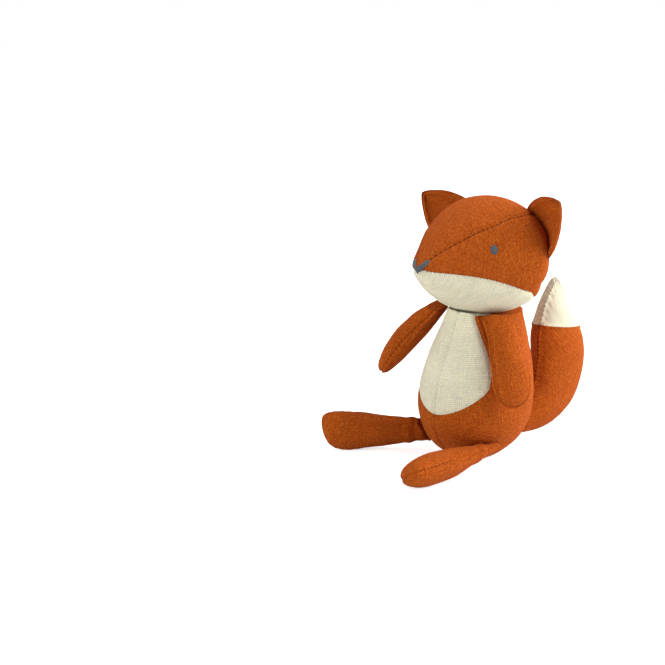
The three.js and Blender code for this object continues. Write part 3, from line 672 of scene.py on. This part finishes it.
# %% Press the cloth in beside the patch, where the arms lie
hollow_depth, hollow_out, hollow_width, hollow_rise = 2.2, 3.5, 2.6, 22
side_start, side_fade, centre_strip = 4, 8, 8
in_front = np.clip((body_shift(table[:, 2]) - table[:, 1] - side_start) / side_fade, 0, 1)
beside = bell((patch + hollow_out) / hollow_width)
beside = beside * np.clip((table[:, 2] - patch_widest) / hollow_rise, 0, 1) * in_front
hollow = hollow_depth * beside * (np.abs(table[:, 0]) > centre_strip)
push_out(table, triangles, -hollow)
print("deepest hollow", round(float(hollow.max()), 2), "mm")

# %% Cut the body into its panels
# Vertices on the middle line belong to both halves, which overlap there by a hair.
HAIR, BEHIND_PATCH = 1e-4, -40.0
SIDES = (("left", 1), ("right", -1))
patch = np.where(front, patch, BEHIND_PATCH)
patch[(table[:, 2] > neck_height - 0.01) & front] = 1.0
for side, sign in SIDES:
    table_side, triangles_side = clip(
        np.column_stack([table, patch]), triangles, sign * table[:, 0] + HAIR
    )
    for label, field, material, replaced in (
        ("tummy", 1, cream_linen, [f"tummy_panel_{side}"]),
        ("body", -1, orange_linen, [f"body_panel_{side}", "body_filling", "seat_panel"]),
    ):
        part, faces = clip(table_side, triangles_side, field * table_side[:, COLUMNS])
        part[:, 2] = np.maximum(part[:, 2], 0)
        make_piece(f"{label}_cloth_{side}", part[:, :COLUMNS], faces, material, "torso", replaced)

# %% [markdown]
# ## The head
#
# The head is a wedge: narrow at the nose, wide at the cheeks, with a high round crown. A cream
# chin meets the orange head in a seam that runs from under the nose to the cheek corners, and
# a forehead panel runs from the nose over the crown between two side panels. A ball could be
# pulled out into a snout, but the corner at the cheeks would be lost. So the head is set out
# as sections, each with a round crown, a straight cheek and a curved chin.

# %% Head sections: along, half-width, crown, cheek corner, chin, and the corner's share of width
head_length, head_half_width, head_height, nose_reach = 86.0, 43.5, 67.0, 51.0
head_tilt = math.radians(2.6)
head_stations = [
    [0, 0, 0.44, 0.44, 0.44, 0.93],
    [0.02, 0.12, 0.51, 0.43, 0.37, 0.93],
    [0.06, 0.2, 0.565, 0.425, 0.31, 0.93],
    [0.15, 0.33, 0.665, 0.41, 0.2, 0.93],
    [0.28, 0.52, 0.795, 0.37, 0.1, 0.93],
    [0.42, 0.72, 0.91, 0.31, 0.02, 0.93],
    [0.57, 0.9, 0.985, 0.235, -0.03, 0.92],
    [0.71, 0.98, 1, 0.24, 0, 0.88],
    [0.85, 0.81, 0.93, 0.3, 0.12, 0.84],
    [0.945, 0.51, 0.79, 0.4, 0.27, 0.84],
    [1, 0, 0.52, 0.52, 0.52, 0.84],
]
print("head", head_length, "mm long,", 2 * head_half_width, "mm wide")

# %% Chin seam seen from the side, forehead seam seen from above
chin_seam_stations = [
    [0, 0.44],
    [0.06, 0.42],
    [0.18, 0.394],
    [0.32, 0.354],
    [0.44, 0.302],
    [0.55, 0.24],
    [0.66, 0.178],
]
forehead_stations = [
    [-0.1, 0.08],
    [0, 0.08],
    [0.06, 0.135],
    [0.15, 0.237],
    [0.3, 0.413],
    [0.43, 0.548],
    [0.57, 0.636],
    [0.7, 0.69],
    [0.86, 0.56],
    [1.1, 0.3],
]
chin_back_share = 0.86
FAR_AWAY = 400


def head_y(along_share):
    """Places along the head, from 0 at the nose to 1 at the back, in the head's own frame."""
    return along_share * head_length - nose_reach - neck_shift


def chin_outline(steps=120):
    row = station(chin_seam_stations, np.linspace(len(chin_seam_stations) - 1, 0, steps))
    seam = [*zip(head_y(row[:, 0]), head_height * row[:, 1])]
    nose_height, back = seam[-1][1], head_y(chin_back_share)
    return [*seam, (-FAR_AWAY, nose_height), (-FAR_AWAY, -FAR_AWAY), (back, -FAR_AWAY), (back, 0)]


def forehead_outline(steps=120):
    row = station(forehead_stations, np.linspace(0, len(forehead_stations) - 1, steps))
    half = [*zip(row[:, 1] * head_half_width, head_y(row[:, 0]))]
    return [*half, *[(-x, y) for x, y in half[::-1]]]


# %% Head skin
cheek_share, crown_roundness, cheek_power = 0.33, 2.05, 4


def head_points(rings=200, crown_steps=72, side_steps=24, chin_steps=48):
    row = station(head_stations, np.linspace(0, len(head_stations) - 1, rings), round_start=True)
    y = head_y(row[:, 0])[:, None]
    width = head_half_width * np.clip(row[:, 1], 0, None)[:, None]
    crown, seam, chin = (head_height * row[:, k][:, None] for k in (2, 3, 4))
    cheek = seam + (crown - seam) * cheek_share
    corner = width * row[:, 5][:, None]
    turn = np.linspace(0, math.pi / 2, crown_steps, endpoint=False)
    x = [width * np.sin(turn) ** (2 / crown_roundness)]
    z = [cheek + (crown - cheek) * np.cos(turn) ** (2 / crown_roundness)]
    f = np.linspace(0, 1, side_steps, endpoint=False)
    x.append(width - (width - corner) * f**cheek_power)
    z.append(cheek - (cheek - seam) * f)
    turn = np.linspace(0, math.pi / 2, chin_steps, endpoint=False)
    x.append(corner * np.cos(turn))
    z.append(seam - (seam - chin) * np.sin(turn))
    x, z = np.concatenate(x, axis=1), np.concatenate(z, axis=1)
    x = np.concatenate([x, 0 * chin, -x[:, :0:-1]], axis=1)
    z = np.concatenate([z, chin, z[:, :0:-1]], axis=1)
    return np.stack([x, np.repeat(y, x.shape[1], axis=1), z], axis=2)


def onto_neck(points):
    """From the head's own frame, at the middle of the neck, to the fox's."""
    tilted = points.copy()
    tilted[:, 0] = points[:, 0] * math.cos(head_tilt) - points[:, 2] * math.sin(head_tilt)
    tilted[:, 2] = points[:, 0] * math.sin(head_tilt) + points[:, 2] * math.cos(head_tilt)
    return tilted + np.array([0, neck_shift, neck_height])


# %% Press the head's seams, and draw the cloth in round the eyes
eye_along, eye_height = head_y(0.397), 39.8
dimple_depth, dimple_width = 1.1, 3.4
table, triangles = skin(head_points())
fill_unevenly(table, triangles)
chin, chin_run = outline_field(chin_outline(), table[:, 1], table[:, 2])
forehead, forehead_run = outline_field(forehead_outline(), table[:, 0], table[:, 1])
mark_seam(table, over_surface(table, triangles, chin), chin_run, 0.6)
forehead_distance = over_surface(table, triangles, forehead)
mark_seam(table, np.where(chin < 0, forehead_distance, FAR_FROM_SEAM), forehead_run)
press_seams(table, triangles, depth=0.7, width=1.3)
from_eye = np.hypot(table[:, 1] - eye_along, table[:, 2] - eye_height)
dimple = dimple_depth * bell(from_eye / dimple_width) * (np.abs(table[:, 0]) > centre_strip)
push_out(table, triangles, -dimple)
head_surface, head_normal = table[:, :3].copy(), normals_of(table, triangles)
print("deepest dimple", round(float(dimple.max()), 2), "mm")

# %% Cut the head into its panels
scallop_depth, scallop_length, neck_gap = 0.16, 1.7, 0.3
table[:, :3] = onto_neck(table[:, :3])
table[:, 2] = np.maximum(table[:, 2], neck_height + neck_gap)
scallop = scallop_depth * np.sin(chin_run * 2 * math.pi / scallop_length)
head_table = np.column_stack([table, chin + scallop, forehead])
part, faces = clip(head_table, triangles, head_table[:, COLUMNS])
replaced = ["chin_panel", "head_filling"]
make_piece("chin_cloth", part[:, :COLUMNS], faces, cream_linen, "head", replaced)
rest, rest_faces = clip(head_table, triangles, -head_table[:, COLUMNS])
part, faces = clip(rest, rest_faces, rest[:, COLUMNS + 1])
make_piece("forehead_cloth", part[:, :COLUMNS], faces, orange_linen, "head", ["forehead_panel"])
sides, side_faces = clip(rest, rest_faces, -rest[:, COLUMNS + 1])
for side, sign in SIDES:
    part, faces = clip(sides, side_faces, sign * sides[:, 0] + HAIR)
    panel = f"head_side_panel_{side}"
    make_piece(f"head_side_cloth_{side}", part[:, :COLUMNS], faces, orange_linen, "head", [panel])

# %% [markdown]
# ## The ears
#
# Each ear is two layers of linen sewn together round the edge, turned, and sewn to the head by
# its straight side. A flat sheet with a Solidify modifier could stand for it, but a real ear is
# a little puffed behind, hollow in front and cupped forwards. So it is a thin leaf of rings
# whose two sides differ. The seam allowance inside shows as a soft ridge along the edge.

# %% Ear sections: along, half-width and half-thickness
ear_length, ear_half_width, ear_half_thickness = 32.0, 17.4, 2.4
ear_cup, ear_twist, ear_slant = 2.5, 2.5, 2.0
ear_lean, ear_turn = math.radians(54), math.radians(28)
ear_root = np.array([0.735 * head_half_width, head_y(0.812), 0.68 * head_height])
front_puff, front_hollow, puff_power = 0.45, 1.1, 0.8
ear_stations = [
    [-0.4, 0.9, 0.8],
    [0, 1, 1],
    [0.3, 0.95, 1],
    [0.6, 0.74, 0.95],
    [0.82, 0.44, 0.8],
    [0.95, 0.2, 0.5],
    [1, 0, 0],
]


def ear_points(sign, rings=70, columns=96):
    row = station(ear_stations, np.linspace(0, len(ear_stations) - 1, rings))
    turn = full_turn(columns)
    along = row[:, 0][:, None] * ear_length + 0 * turn
    across = np.clip(row[:, 1], 0, None)[:, None] * ear_half_width * np.cos(turn)
    puff = np.abs(np.sin(turn)) ** puff_power
    puff = np.where(np.sin(turn) > 0, front_puff * puff - front_hollow * np.sin(turn) ** 3, -puff)
    depth = -row[:, 2][:, None] * ear_half_thickness * puff
    share = across / ear_half_width
    depth = depth - share * (ear_cup * share + ear_twist)
    across = across + ear_slant * np.clip(row[:, 0][:, None], 0, None) ** 2
    out = along * math.sin(ear_lean) - across * math.cos(ear_lean)
    up = along * math.cos(ear_lean) + across * math.sin(ear_lean)
    x = ear_root[0] + out * math.cos(ear_turn) + depth * math.sin(ear_turn)
    y = ear_root[1] - out * math.sin(ear_turn) + depth * math.cos(ear_turn)
    points = np.stack([sign * x, y, ear_root[2] + up], axis=2)
    return points if sign > 0 else points[:, ::-1]


print("ear roots", ear_root.round(1), "mm from the neck")

# %% Sew the ears
ridge_height, ridge_in, ridge_width = 1.0, 3.4, 1.0
groove_depth, groove_in, groove_width = 0.5, 1.6, 0.8
for side, sign in SIDES:
    points = capped(ear_points(sign))
    table, triangles = skin(points)
    edge = edge_distance_of(table, points.shape[1])
    mark_seam(table, edge, table[:, ALONG], 0.8)
    ridge = ridge_height * bell((edge - ridge_in) / ridge_width)
    groove = groove_depth * bell((edge - groove_in) / groove_width)
    push_out(table, triangles, ridge - groove)
    press_seams(table, triangles, depth=0.3, width=0.7)
    table[:, :3] = onto_neck(table[:, :3])
    replaced = [f"ear_{side}_front", f"ear_{side}_back"]
    make_piece(f"ear_cloth_{side}", table, triangles, orange_linen, "head", replaced)

# %% [markdown]
# ## Eyes and nose
#
# The eyes and the nose are embroidered with slate-grey thread. Satin stitches lie side by side
# over a few stitches of padding, so each stitch is a taut thread that dives into the cloth at
# both ends. A grey pad with a striped bump could stand for them, but its rim would be too
# smooth. So each thread is a curve with a round bevel, laid over the sewn head. The eyes are
# upright ovals. The nose is a V of three threads a side, with a short stitch down from its point.


# %% Thread material
def thread_material(name, colour):
    material, tree, shader = new_material(name)
    uv = Signal(tree, tree.nodes.new("ShaderNodeUVMap").outputs[0])
    round_share = uv.node("ShaderNodeSeparateXYZ", {0: uv}, output=0)
    long_share = uv.node("ShaderNodeSeparateXYZ", {0: uv}, output=1)
    twist = ((round_share * 2.0 + long_share * 9.0) * (2 * math.pi)).sine()
    light = 0.9 + 0.22 * twist
    tree.links.new(light.tinted((*colour,)).socket, shader.inputs["Base Color"])
    relief = 0.5 + 0.5 * twist
    bump = relief.node("ShaderNodeBump", {"Height": relief, "Distance": 0.0001, "Strength": 0.6})
    tree.links.new(bump.socket, shader.inputs["Normal"])
    shader.inputs["Roughness"].default_value = 0.55
    shader.inputs["Sheen Weight"].default_value = 0.3
    return material


slate_thread = thread_material("embroidery_thread", linear(64, 76, 82))
print("material:", slate_thread.name)

# %% Places on the sewn head
snout_end = head_y(0.4)


def on_head(along, height, side):
    """The nearest place on the head seen from the side, in its own frame, and the way out."""
    reach = np.hypot(head_surface[:, 1] - along, head_surface[:, 2] - height)
    nearest = np.where(head_surface[:, 0] * side > 0, reach, np.inf).argmin()
    return head_surface[nearest], head_normal[nearest]


def on_snout(across, height):
    """The nearest place on the head seen from the front, and the way out."""
    reach = np.hypot(head_surface[:, 0] - across, head_surface[:, 2] - height)
    nearest = np.where(head_surface[:, 1] < snout_end, reach, np.inf).argmin()
    return head_surface[nearest], head_normal[nearest]


print("left eye at", on_head(eye_along, eye_height, 1)[0].round(1))


# %% One stitch
def stitch(places, radius):
    """A taut thread through places in the head's frame, thin where it dives into the cloth."""
    places = onto_neck(np.array(places)) * METRES_PER_MM
    bpy.ops.curve.primitive_nurbs_path_add(location=(0, 0, 0))
    thread = bpy.context.object
    thread.data.bevel_depth = radius * METRES_PER_MM
    thread.data.bevel_resolution = 3
    thread.data.resolution_u = 4
    thread.data.use_fill_caps = True
    path = thread.data.splines[0]
    path.points.add(len(places) - len(path.points))
    shares = np.linspace(-1, 1, len(places))
    for point, place, share in zip(path.points, places, shares):
        point.co = (*place, 1)
        point.radius = 0.55 + 0.45 * math.sqrt(max(0, 1 - share**6))
    bpy.ops.object.convert(target="MESH")
    bpy.ops.object.shade_smooth()
    return bpy.context.object


# %% A piece made of stitches
def embroider(name, stitches, replaced):
    """Joins threads into one piece on the head. Each is given as its places and its radius."""
    bpy.ops.object.select_all(action="DESELECT")
    threads = [stitch(*given) for given in stitches]
    for thread in threads:
        thread.select_set(True)
    bpy.context.view_layer.objects.active = threads[0]
    bpy.ops.object.join()
    piece = bpy.context.object
    piece.name = name
    piece.data.materials.clear()
    piece.data.materials.append(slate_thread)
    bpy.ops.object.select_all(action="DESELECT")
    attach(piece, "head")
    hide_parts(*replaced)
    print(name, len(threads), "threads,", len(piece.data.polygons), "faces")


# %% Embroider the eyes
eye_half_width, eye_half_height, eye_threads = 2.1, 3.0, 9
eye_thread_radius, eye_roundness = 0.34, 0.93
eye_rise, eye_end_drop = 0.75, 0.6
for side, sign in SIDES:
    centre, out = on_head(eye_along, eye_height, sign)
    lift = unit(np.array([0, 0, 1]) - out[2] * out)
    beside = np.cross(lift, out)
    stitches = []
    for k in range(eye_threads):
        share = (k + 0.5) / eye_threads * 2 - 1
        half = eye_half_height * math.sqrt(1 - (eye_roundness * share) ** 2)
        places = []
        for f in np.linspace(-1, 1, 7):
            rise = eye_rise - eye_rise * share**2 - eye_end_drop * f**4
            places.append(centre + beside * share * eye_half_width + lift * f * half + out * rise)
        stitches.append((places, eye_thread_radius))
    embroider(f"eye_stitches_{side}", stitches, [f"eye_{side}"])

# %% Embroider the nose
nose_low, nose_high, nose_out = 28.8, 34.6, 5.8
nose_thread_gap, nose_thread_radius = 0.62, 0.55
nose_rise, nose_middle_rise, nose_end_drop = 0.3, 0.25, 0.5
stitches = []
for sign in (1, -1):
    for k in (-1, 0, 1):
        places = []
        for f in np.linspace(0, 1, 9):
            across = sign * (nose_out * f - nose_thread_gap * k)
            height = nose_low + (nose_high - nose_low) * f + nose_thread_gap * k
            place, out = on_snout(across, height)
            rise = nose_rise + nose_middle_rise * (1 - abs(k)) - nose_end_drop * (2 * f - 1) ** 6
            places.append(place + out * rise)
        stitches.append((places, nose_thread_radius))
short_start, short_length, short_radius, short_rise, short_end_drop = 1.0, 2.3, 0.5, 0.5, 0.6
places = []
for f in np.linspace(0, 1, 6):
    place, out = on_snout(0, nose_low + short_start - short_length * f)
    places.append(place + out * (short_rise - short_end_drop * (2 * f - 1) ** 4))
stitches.append((places, short_radius))
embroider("nose_stitches", stitches, ["nose_stitching"])

# %% [markdown]
# ## Arms and legs
#
# Arms and legs are leaves of two layers, sewn round the edge and stuffed. Capsules could stand
# for them, but a real arm is flat where it lies against the body, and it stays clear of the
# body and of the turning head over its whole range. So each limb is a leaf of rings from a
# table, and each point that would meet the body or the head in any pose is moved out of the way.

# %% Limb sections: along, half-width, half-thickness and how far the limb bows out
limb_tables = {
    "arm": [
        [-0.1, 0.8, 0.44, -0.1],
        [0.08, 0.8, 0.66, 0.3],
        [0.28, 0.8, 0.92, 0.65],
        [0.52, 0.9, 1, 0.95],
        [0.75, 1, 0.88, 1],
        [0.91, 0.8, 0.6, 0.95],
        [0.975, 0.48, 0.34, 0.9],
        [1, 0, 0, 0.88],
    ],
    "leg": [
        [-0.17, 0.62, 0.3, 0],
        [0.03, 0.62, 0.4, 0],
        [0.13, 0.64, 0.6, 0],
        [0.28, 0.71, 0.8, 0],
        [0.48, 0.83, 1.1, 0],
        [0.68, 0.96, 1.2, 0],
        [0.84, 1, 1.08, 0],
        [0.94, 0.86, 0.8, 0],
        [0.985, 0.52, 0.46, 0],
        [1, 0, 0, 0],
    ],
}
print("limbs:", {kind: len(rows) for kind, rows in limb_tables.items()}, "sections")

# %% Sizes and places of the limbs
# Length, half-width, half-thickness, bow, and how far the toe slants.
limb_sizes = {
    "arm_left": (53.8, 11.2, 8.0, 6.0, 0.0),
    "arm_right": (57.0, 11.6, 8.0, 6.0, 0.0),
    "leg_left": (67.0, 12.2, 7.6, 0.0, 3.0),
    "leg_right": (67.0, 12.2, 7.6, 0.0, 3.0),
}
# Root, direction, direction of the edge, joint axis, joint range in degrees, and side.
limbs = {
    "arm_left": ((21.5, -7.5, 91), (0.29, -0.055, -0.96), (-0.45, -0.89, 0), (-1, 0, 0), (-12, 48), 1),
    "arm_right": ((-21.5, -7.5, 91), (-0.39, -0.455, -0.81), (0.63, -0.77, 0.12), (-1, 0, 0), (-35, 20), -1),
    "leg_left": ((25, -14, 12.2), (-0.06, -1, -0.06), (0.86, 0, 0.51), (0, 0, 1), (-4, 50), 1),
    "leg_right": ((-25, -14, 12.2), (-0.64, -0.77, 0), (0, 0, 1), (0, 0, -1), (-36, 14), -1),
}
shoulder_axes = {"arm_left": np.array([0, -13.0, 91.0]), "arm_right": np.array([0, -5.5, 91.0])}


def limb_axes(name):
    """The way along a limb and the way to its edge, square to each other."""
    _, point, edge, _, _, _ = limbs[name]
    x_axis = unit(point)
    return x_axis, unit(np.array(edge) - np.dot(edge, x_axis) * x_axis)


def limb_points(name, rings=150, columns=120):
    pivot, _, _, _, _, sign = limbs[name]
    length, half_width, half_thickness, bow, slant = limb_sizes[name]
    rows = limb_tables[name[:3]]
    row = station(rows, np.linspace(0, len(rows) - 1, rings))
    turn = full_turn(columns)
    across = np.clip(row[:, 1], 0, None)[:, None] * half_width * np.cos(turn)
    depth = np.clip(row[:, 2], 0, None)[:, None] * half_thickness * np.sin(turn)
    depth = depth + row[:, 3][:, None] * bow * -sign
    along = row[:, 0][:, None] * length + 0 * turn
    along = along + slant * np.clip(row[:, 0][:, None], 0, None) ** 3 * across / half_width
    x_axis, y_axis = limb_axes(name)
    z_axis = np.cross(x_axis, y_axis)
    points = np.array(pivot) + along[..., None] * x_axis + across[..., None] * y_axis
    return points + depth[..., None] * z_axis


# %% Keep a limb clear of the body and the head
body_clearance, upright_below = 0.25, 13.0
bowl_clearance, bowl_rise_share = 1.0, 0.4


def in_body(points):
    """Which points lie in the body. It counts as upright near the floor, so no root is a wedge."""
    height = points[:, 2]
    upright = np.maximum(height, upright_below)
    radius = body_radius(upright, body_clearance)
    x = points[:, 0] / oval_across
    y = (points[:, 1] - body_shift(upright)) / oval_along
    return (x * x + y * y < radius**2) & (height < neck_height) & (height > 0)


def under_head(points):
    """Which points reach into the bowl of space in which the head turns."""
    out = np.hypot(points[:, 0], points[:, 1] - neck_shift)
    rise = np.clip(out - neck_radius, 0, None) * bowl_rise_share
    return points[:, 2] - neck_height + bowl_clearance - rise > 0


def turned(points, pivot, axis, degrees):
    matrix = np.array(Matrix.Rotation(math.radians(degrees), 3, Vector(axis)))
    return (points - pivot) @ matrix.T + pivot


def pushed_clear(points, pivot, axis, degrees_range, blocked, direction, step=0.25, tries=80):
    """Moves each blocked point along a direction until it is free in every pose."""
    points = points.copy()
    poses = np.linspace(*degrees_range, 9)
    for _ in range(tries):
        hit = np.zeros(len(points), bool)
        for degrees in poses:
            hit |= blocked(turned(points, pivot, axis, degrees))
        if not hit.any():
            break
        points[hit] += np.asarray(direction) * step
    return points


# %% Creases at the hip, and the seams of the limbs
fold_depth, fold_spacing, fold_place, fold_reach = 0.45, 9.5, 11, 6
fold_drift, fold_drift_length = 1.9, 7
leg_seam_start, leg_seam_fade, toe_fade, faintest = 32, 12, 4, 0.1
seam_depths = {"arm_left": 1.0, "arm_right": 0.7, "leg_left": 0.45, "leg_right": 0.45}
allowance_depth, allowance_in, allowance_width = 0.6, 2.7, 1.1


def hip_folds(table, from_root):
    """The flat root of a leg wrinkles where the filling ends."""
    drift = fold_drift * np.sin(table[:, ACROSS] / fold_drift_length)
    wave = np.sin(from_root * 2 * math.pi / fold_spacing + drift)
    return fold_depth * wave * bell((from_root - fold_place) / fold_reach)


def sew_edges(name, table, triangles, edge_distance, from_root):
    """The left arm's seam stands up. The others are valleys, and a leg's is plain on the foot."""
    raised = name == "arm_left"
    # A plainness below 0 makes the linen paint a highlight along this raised seam and paint shade beside it.
    mark_seam(table, edge_distance, table[:, ALONG], -0.7 if raised else 0.7)
    if name[:3] == "leg":
        foot = np.clip((from_root - leg_seam_start) / leg_seam_fade, faintest, 1)
        toe = np.clip((limb_sizes[name][0] - from_root) / toe_fade, faintest, 1)
        table[:, PLAINNESS] *= foot * toe
    press_seams(table, triangles, depth=seam_depths[name], width=0.9 if raised else 1.2)
    if raised:
        beside = allowance_depth * bell((edge_distance - allowance_in) / allowance_width)
        push_out(table, triangles, -beside)


# %% Sew the arms and legs
def sew_limb(name):
    pivot, _, _, axis, degrees_range, sign = limbs[name]
    points = capped(limb_points(name))
    table, triangles = skin(points)
    edge_distance = edge_distance_of(table, points.shape[1])
    x_axis, y_axis = limb_axes(name)
    from_root = (table[:, :3] - np.array(pivot)) @ x_axis
    fill_unevenly(table, triangles, amount=0.5, size=12.0)
    sew_edges(name, table, triangles, edge_distance, from_root)
    if name[:3] == "leg":
        centre, away = np.array(pivot, float), x_axis
        push_out(table, triangles, hip_folds(table, from_root))
    else:
        centre, away = shoulder_axes[name], unit(np.cross(x_axis, y_axis) * (-sign, -sign, 0))
        table[:, :3] = pushed_clear(table[:, :3], centre, axis, degrees_range, under_head, x_axis)
    table[:, :3] = pushed_clear(table[:, :3], centre, axis, degrees_range, in_body, away)
    table[:, 2] = np.maximum(table[:, 2], 0)
    replaced = [f"{name}_panel_outer", f"{name}_panel_inner", f"{name}_filling"]
    make_piece(f"{name}_cloth", table, triangles, orange_linen, name, replaced)


for limb_name in limbs:
    sew_limb(limb_name)

# %% [markdown]
# ## The tail
#
# The tail is a flat leaf that leaves the body low at the back, swells, and points up. Its tip
# is cream. It is sewn from a left and a right layer, and the photograph shows their seam a
# little to the left of the edge that faces the body. The tail could be a bent cone, but its
# section is a leaf whose width and thickness change separately. So a table sets out its
# middle line with both, and each ring stands square to that line.

# %% Tail sections: back, up, half-width and half-thickness
tail_stations = [
    [-0.1, -0.01, 0.26, 0.24],
    [0, 0, 0.29, 0.28],
    [0.27, 0.02, 0.42, 0.52],
    [0.6, 0.08, 0.68, 0.8],
    [0.9, 0.17, 0.91, 0.96],
    [1.1, 0.3, 1, 1],
    [1.13, 0.45, 0.99, 1],
    [1.02, 0.61, 0.84, 0.9],
    [0.97, 0.78, 0.57, 0.68],
    [0.97, 0.91, 0.29, 0.4],
    [0.985, 0.98, 0.12, 0.18],
    [0.99, 1, 0, 0],
]
tail_reach, tail_height, tail_half_width, tail_half_thickness = 36.0, 88.0, 22.0, 12.3
tail_root_y, tail_root_height = 33.0, 13.0


def tail_points(rings=190, columns=144):
    row = station(tail_stations, np.linspace(0, len(tail_stations) - 1, rings))
    back, up = tail_root_y + row[:, 0] * tail_reach, tail_root_height + row[:, 1] * tail_height
    places = np.stack([0 * back, back, up], axis=1)
    along = np.gradient(places, axis=0)
    along /= np.maximum(np.linalg.norm(along, axis=1), TINY)[:, None]
    edge = np.stack([0 * along[:, 0], along[:, 2], -along[:, 1]], axis=1)
    turn = full_turn(columns)
    width = np.clip(row[:, 2], 0, None) * tail_half_width
    thickness = np.clip(row[:, 3], 0, None) * tail_half_thickness
    points = places[:, None, :] + edge[:, None, :] * (width[:, None] * np.cos(turn))[..., None]
    points[:, :, 0] = thickness[:, None] * np.sin(turn)
    return points


print("tail", tail_height, "mm high,", 2 * tail_half_width, "mm wide")

# %% Press the tail's seams, and keep its root clear of the body
tail_seam_to_left, tip_share, tip_slope = 2.4, 0.655, math.radians(8)
table, triangles = skin(capped(tail_points()))
fill_unevenly(table, triangles, amount=0.5, size=15.0)
seam_distance = over_surface(table, triangles, table[:, 0] - tail_seam_to_left)
mark_seam(table, seam_distance, table[:, ALONG], 1.0)
tip = (table[:, 2] - tail_root_height - tip_share * tail_height) * math.cos(tip_slope)
tip = tip + (table[:, 1] - tail_root_y - tail_reach) * math.sin(tip_slope)
mark_seam(table, over_surface(table, triangles, tip), table[:, ACROSS], 0.5)
press_seams(table, triangles, depth=0.8, width=1.4)
pivot = np.array([0, tail_root_y, 0])
table[:, :3] = pushed_clear(table[:, :3], pivot, (0, 0, 1), (-25, 25), in_body, (0, 1, 0))
print("tail reaches back to", round(float(table[:, 1].max()), 1), "mm")

# %% Cut the tail into its tip and its lower part
for label, field, material, filling in (
    ("tip", 1, cream_linen, []),
    ("panel", -1, orange_linen, ["tail_filling"]),
):
    part, faces = clip(table, triangles, field * tip)
    replaced = [f"tail_{label}_left", f"tail_{label}_right", *filling]
    make_piece(f"tail_{label}_cloth", part, faces, material, "tail", replaced)

# %% [markdown]
# ## Floor and background
#
# The fox sits on a white surface in front of a white background. A curved backdrop could do
# both, but it would throw light back at the fox. So the floor is a plane that keeps the soft
# shadow and glows a little to the camera only, more so far away, where it meets a
# background that is white to the camera and in reflections.

# %% Floor
near_glow, added_glow, glow_start, glow_rate = 0.72, 0.5, 0.15, 1.6
floor_material, tree, shader = new_material("floor")
shader.inputs["Base Color"].default_value = (0.9, 0.9, 0.9, 1)
shader.inputs["Roughness"].default_value = 0.9
bpy.ops.mesh.primitive_plane_add(size=8, location=(0, 0, 0))
floor = bpy.context.object
floor.name = "floor"
floor.data.materials.append(floor_material)
seen = Signal(tree, tree.nodes.new("ShaderNodeLightPath").outputs["Is Camera Ray"])
place = Signal(tree, tree.nodes.new("ShaderNodeTexCoord").outputs["Object"])
away = place.node("ShaderNodeVectorMath", {0: place}, output=1, operation="LENGTH")
glow = seen * (near_glow + added_glow * ((away - glow_start) * glow_rate).limited())
tree.links.new(glow.tinted((1, 1, 1)).socket, shader.inputs["Emission Color"])
shader.inputs["Emission Strength"].default_value = 1
print("floor", floor.dimensions.x, "m wide")

# %% Background
world = bpy.data.worlds.new("studio")
bpy.context.scene.world = world
world.use_nodes = True
tree = world.node_tree
backdrop = tree.nodes["Background"]
path = tree.nodes.new("ShaderNodeLightPath")
seen = Signal(tree, path.outputs["Is Camera Ray"])
white_rays = seen.larger(Signal(tree, path.outputs["Is Glossy Ray"]))
backdrop.inputs["Color"].default_value = (1, 1, 1, 1)
tree.links.new(white_rays.socket, backdrop.inputs["Strength"])
print("world:", world.name)

# %% [markdown]
# ## Light
#
# The light falls mostly from the camera's right, high and a little behind the fox, with weaker
# soft boxes round the rest of it. One sun would give the same bright side, but with hard
# shadows in the folds. A soft box is named by its turn from the camera's side, in degrees to
# the right, and by its height above the horizon.


# %% Soft boxes
def soft_box(name, turn, rise, watts, size=0.7, away=1.2):
    middle = Vector((0, 0, 0.08))
    around = math.atan2(camera.location.y, camera.location.x) + math.radians(turn)
    rise = math.radians(rise)
    level = math.cos(rise)
    way = Vector((math.cos(around) * level, math.sin(around) * level, math.sin(rise)))
    lamp = bpy.data.lights.new(name, "AREA")
    lamp.size = size
    lamp.energy = watts
    holder = bpy.data.objects.new(name, lamp)
    holder.location = middle + way * away
    holder.rotation_euler = way.to_track_quat("Z", "Y").to_euler()
    bpy.context.scene.collection.objects.link(holder)


soft_box("window", 90, 20, 12.4)
soft_box("behind", 120, 55, 10.1)
soft_box("left_front", -45, 20, 7.5)
soft_box("overhead", 60, 55, 4.7)
soft_box("far_left", -120, 55, 2.8)
soft_box("left", -90, 20, 1.1)
bpy.context.scene.view_settings.view_transform = "Standard"
print("lamps", len(bpy.data.lights))
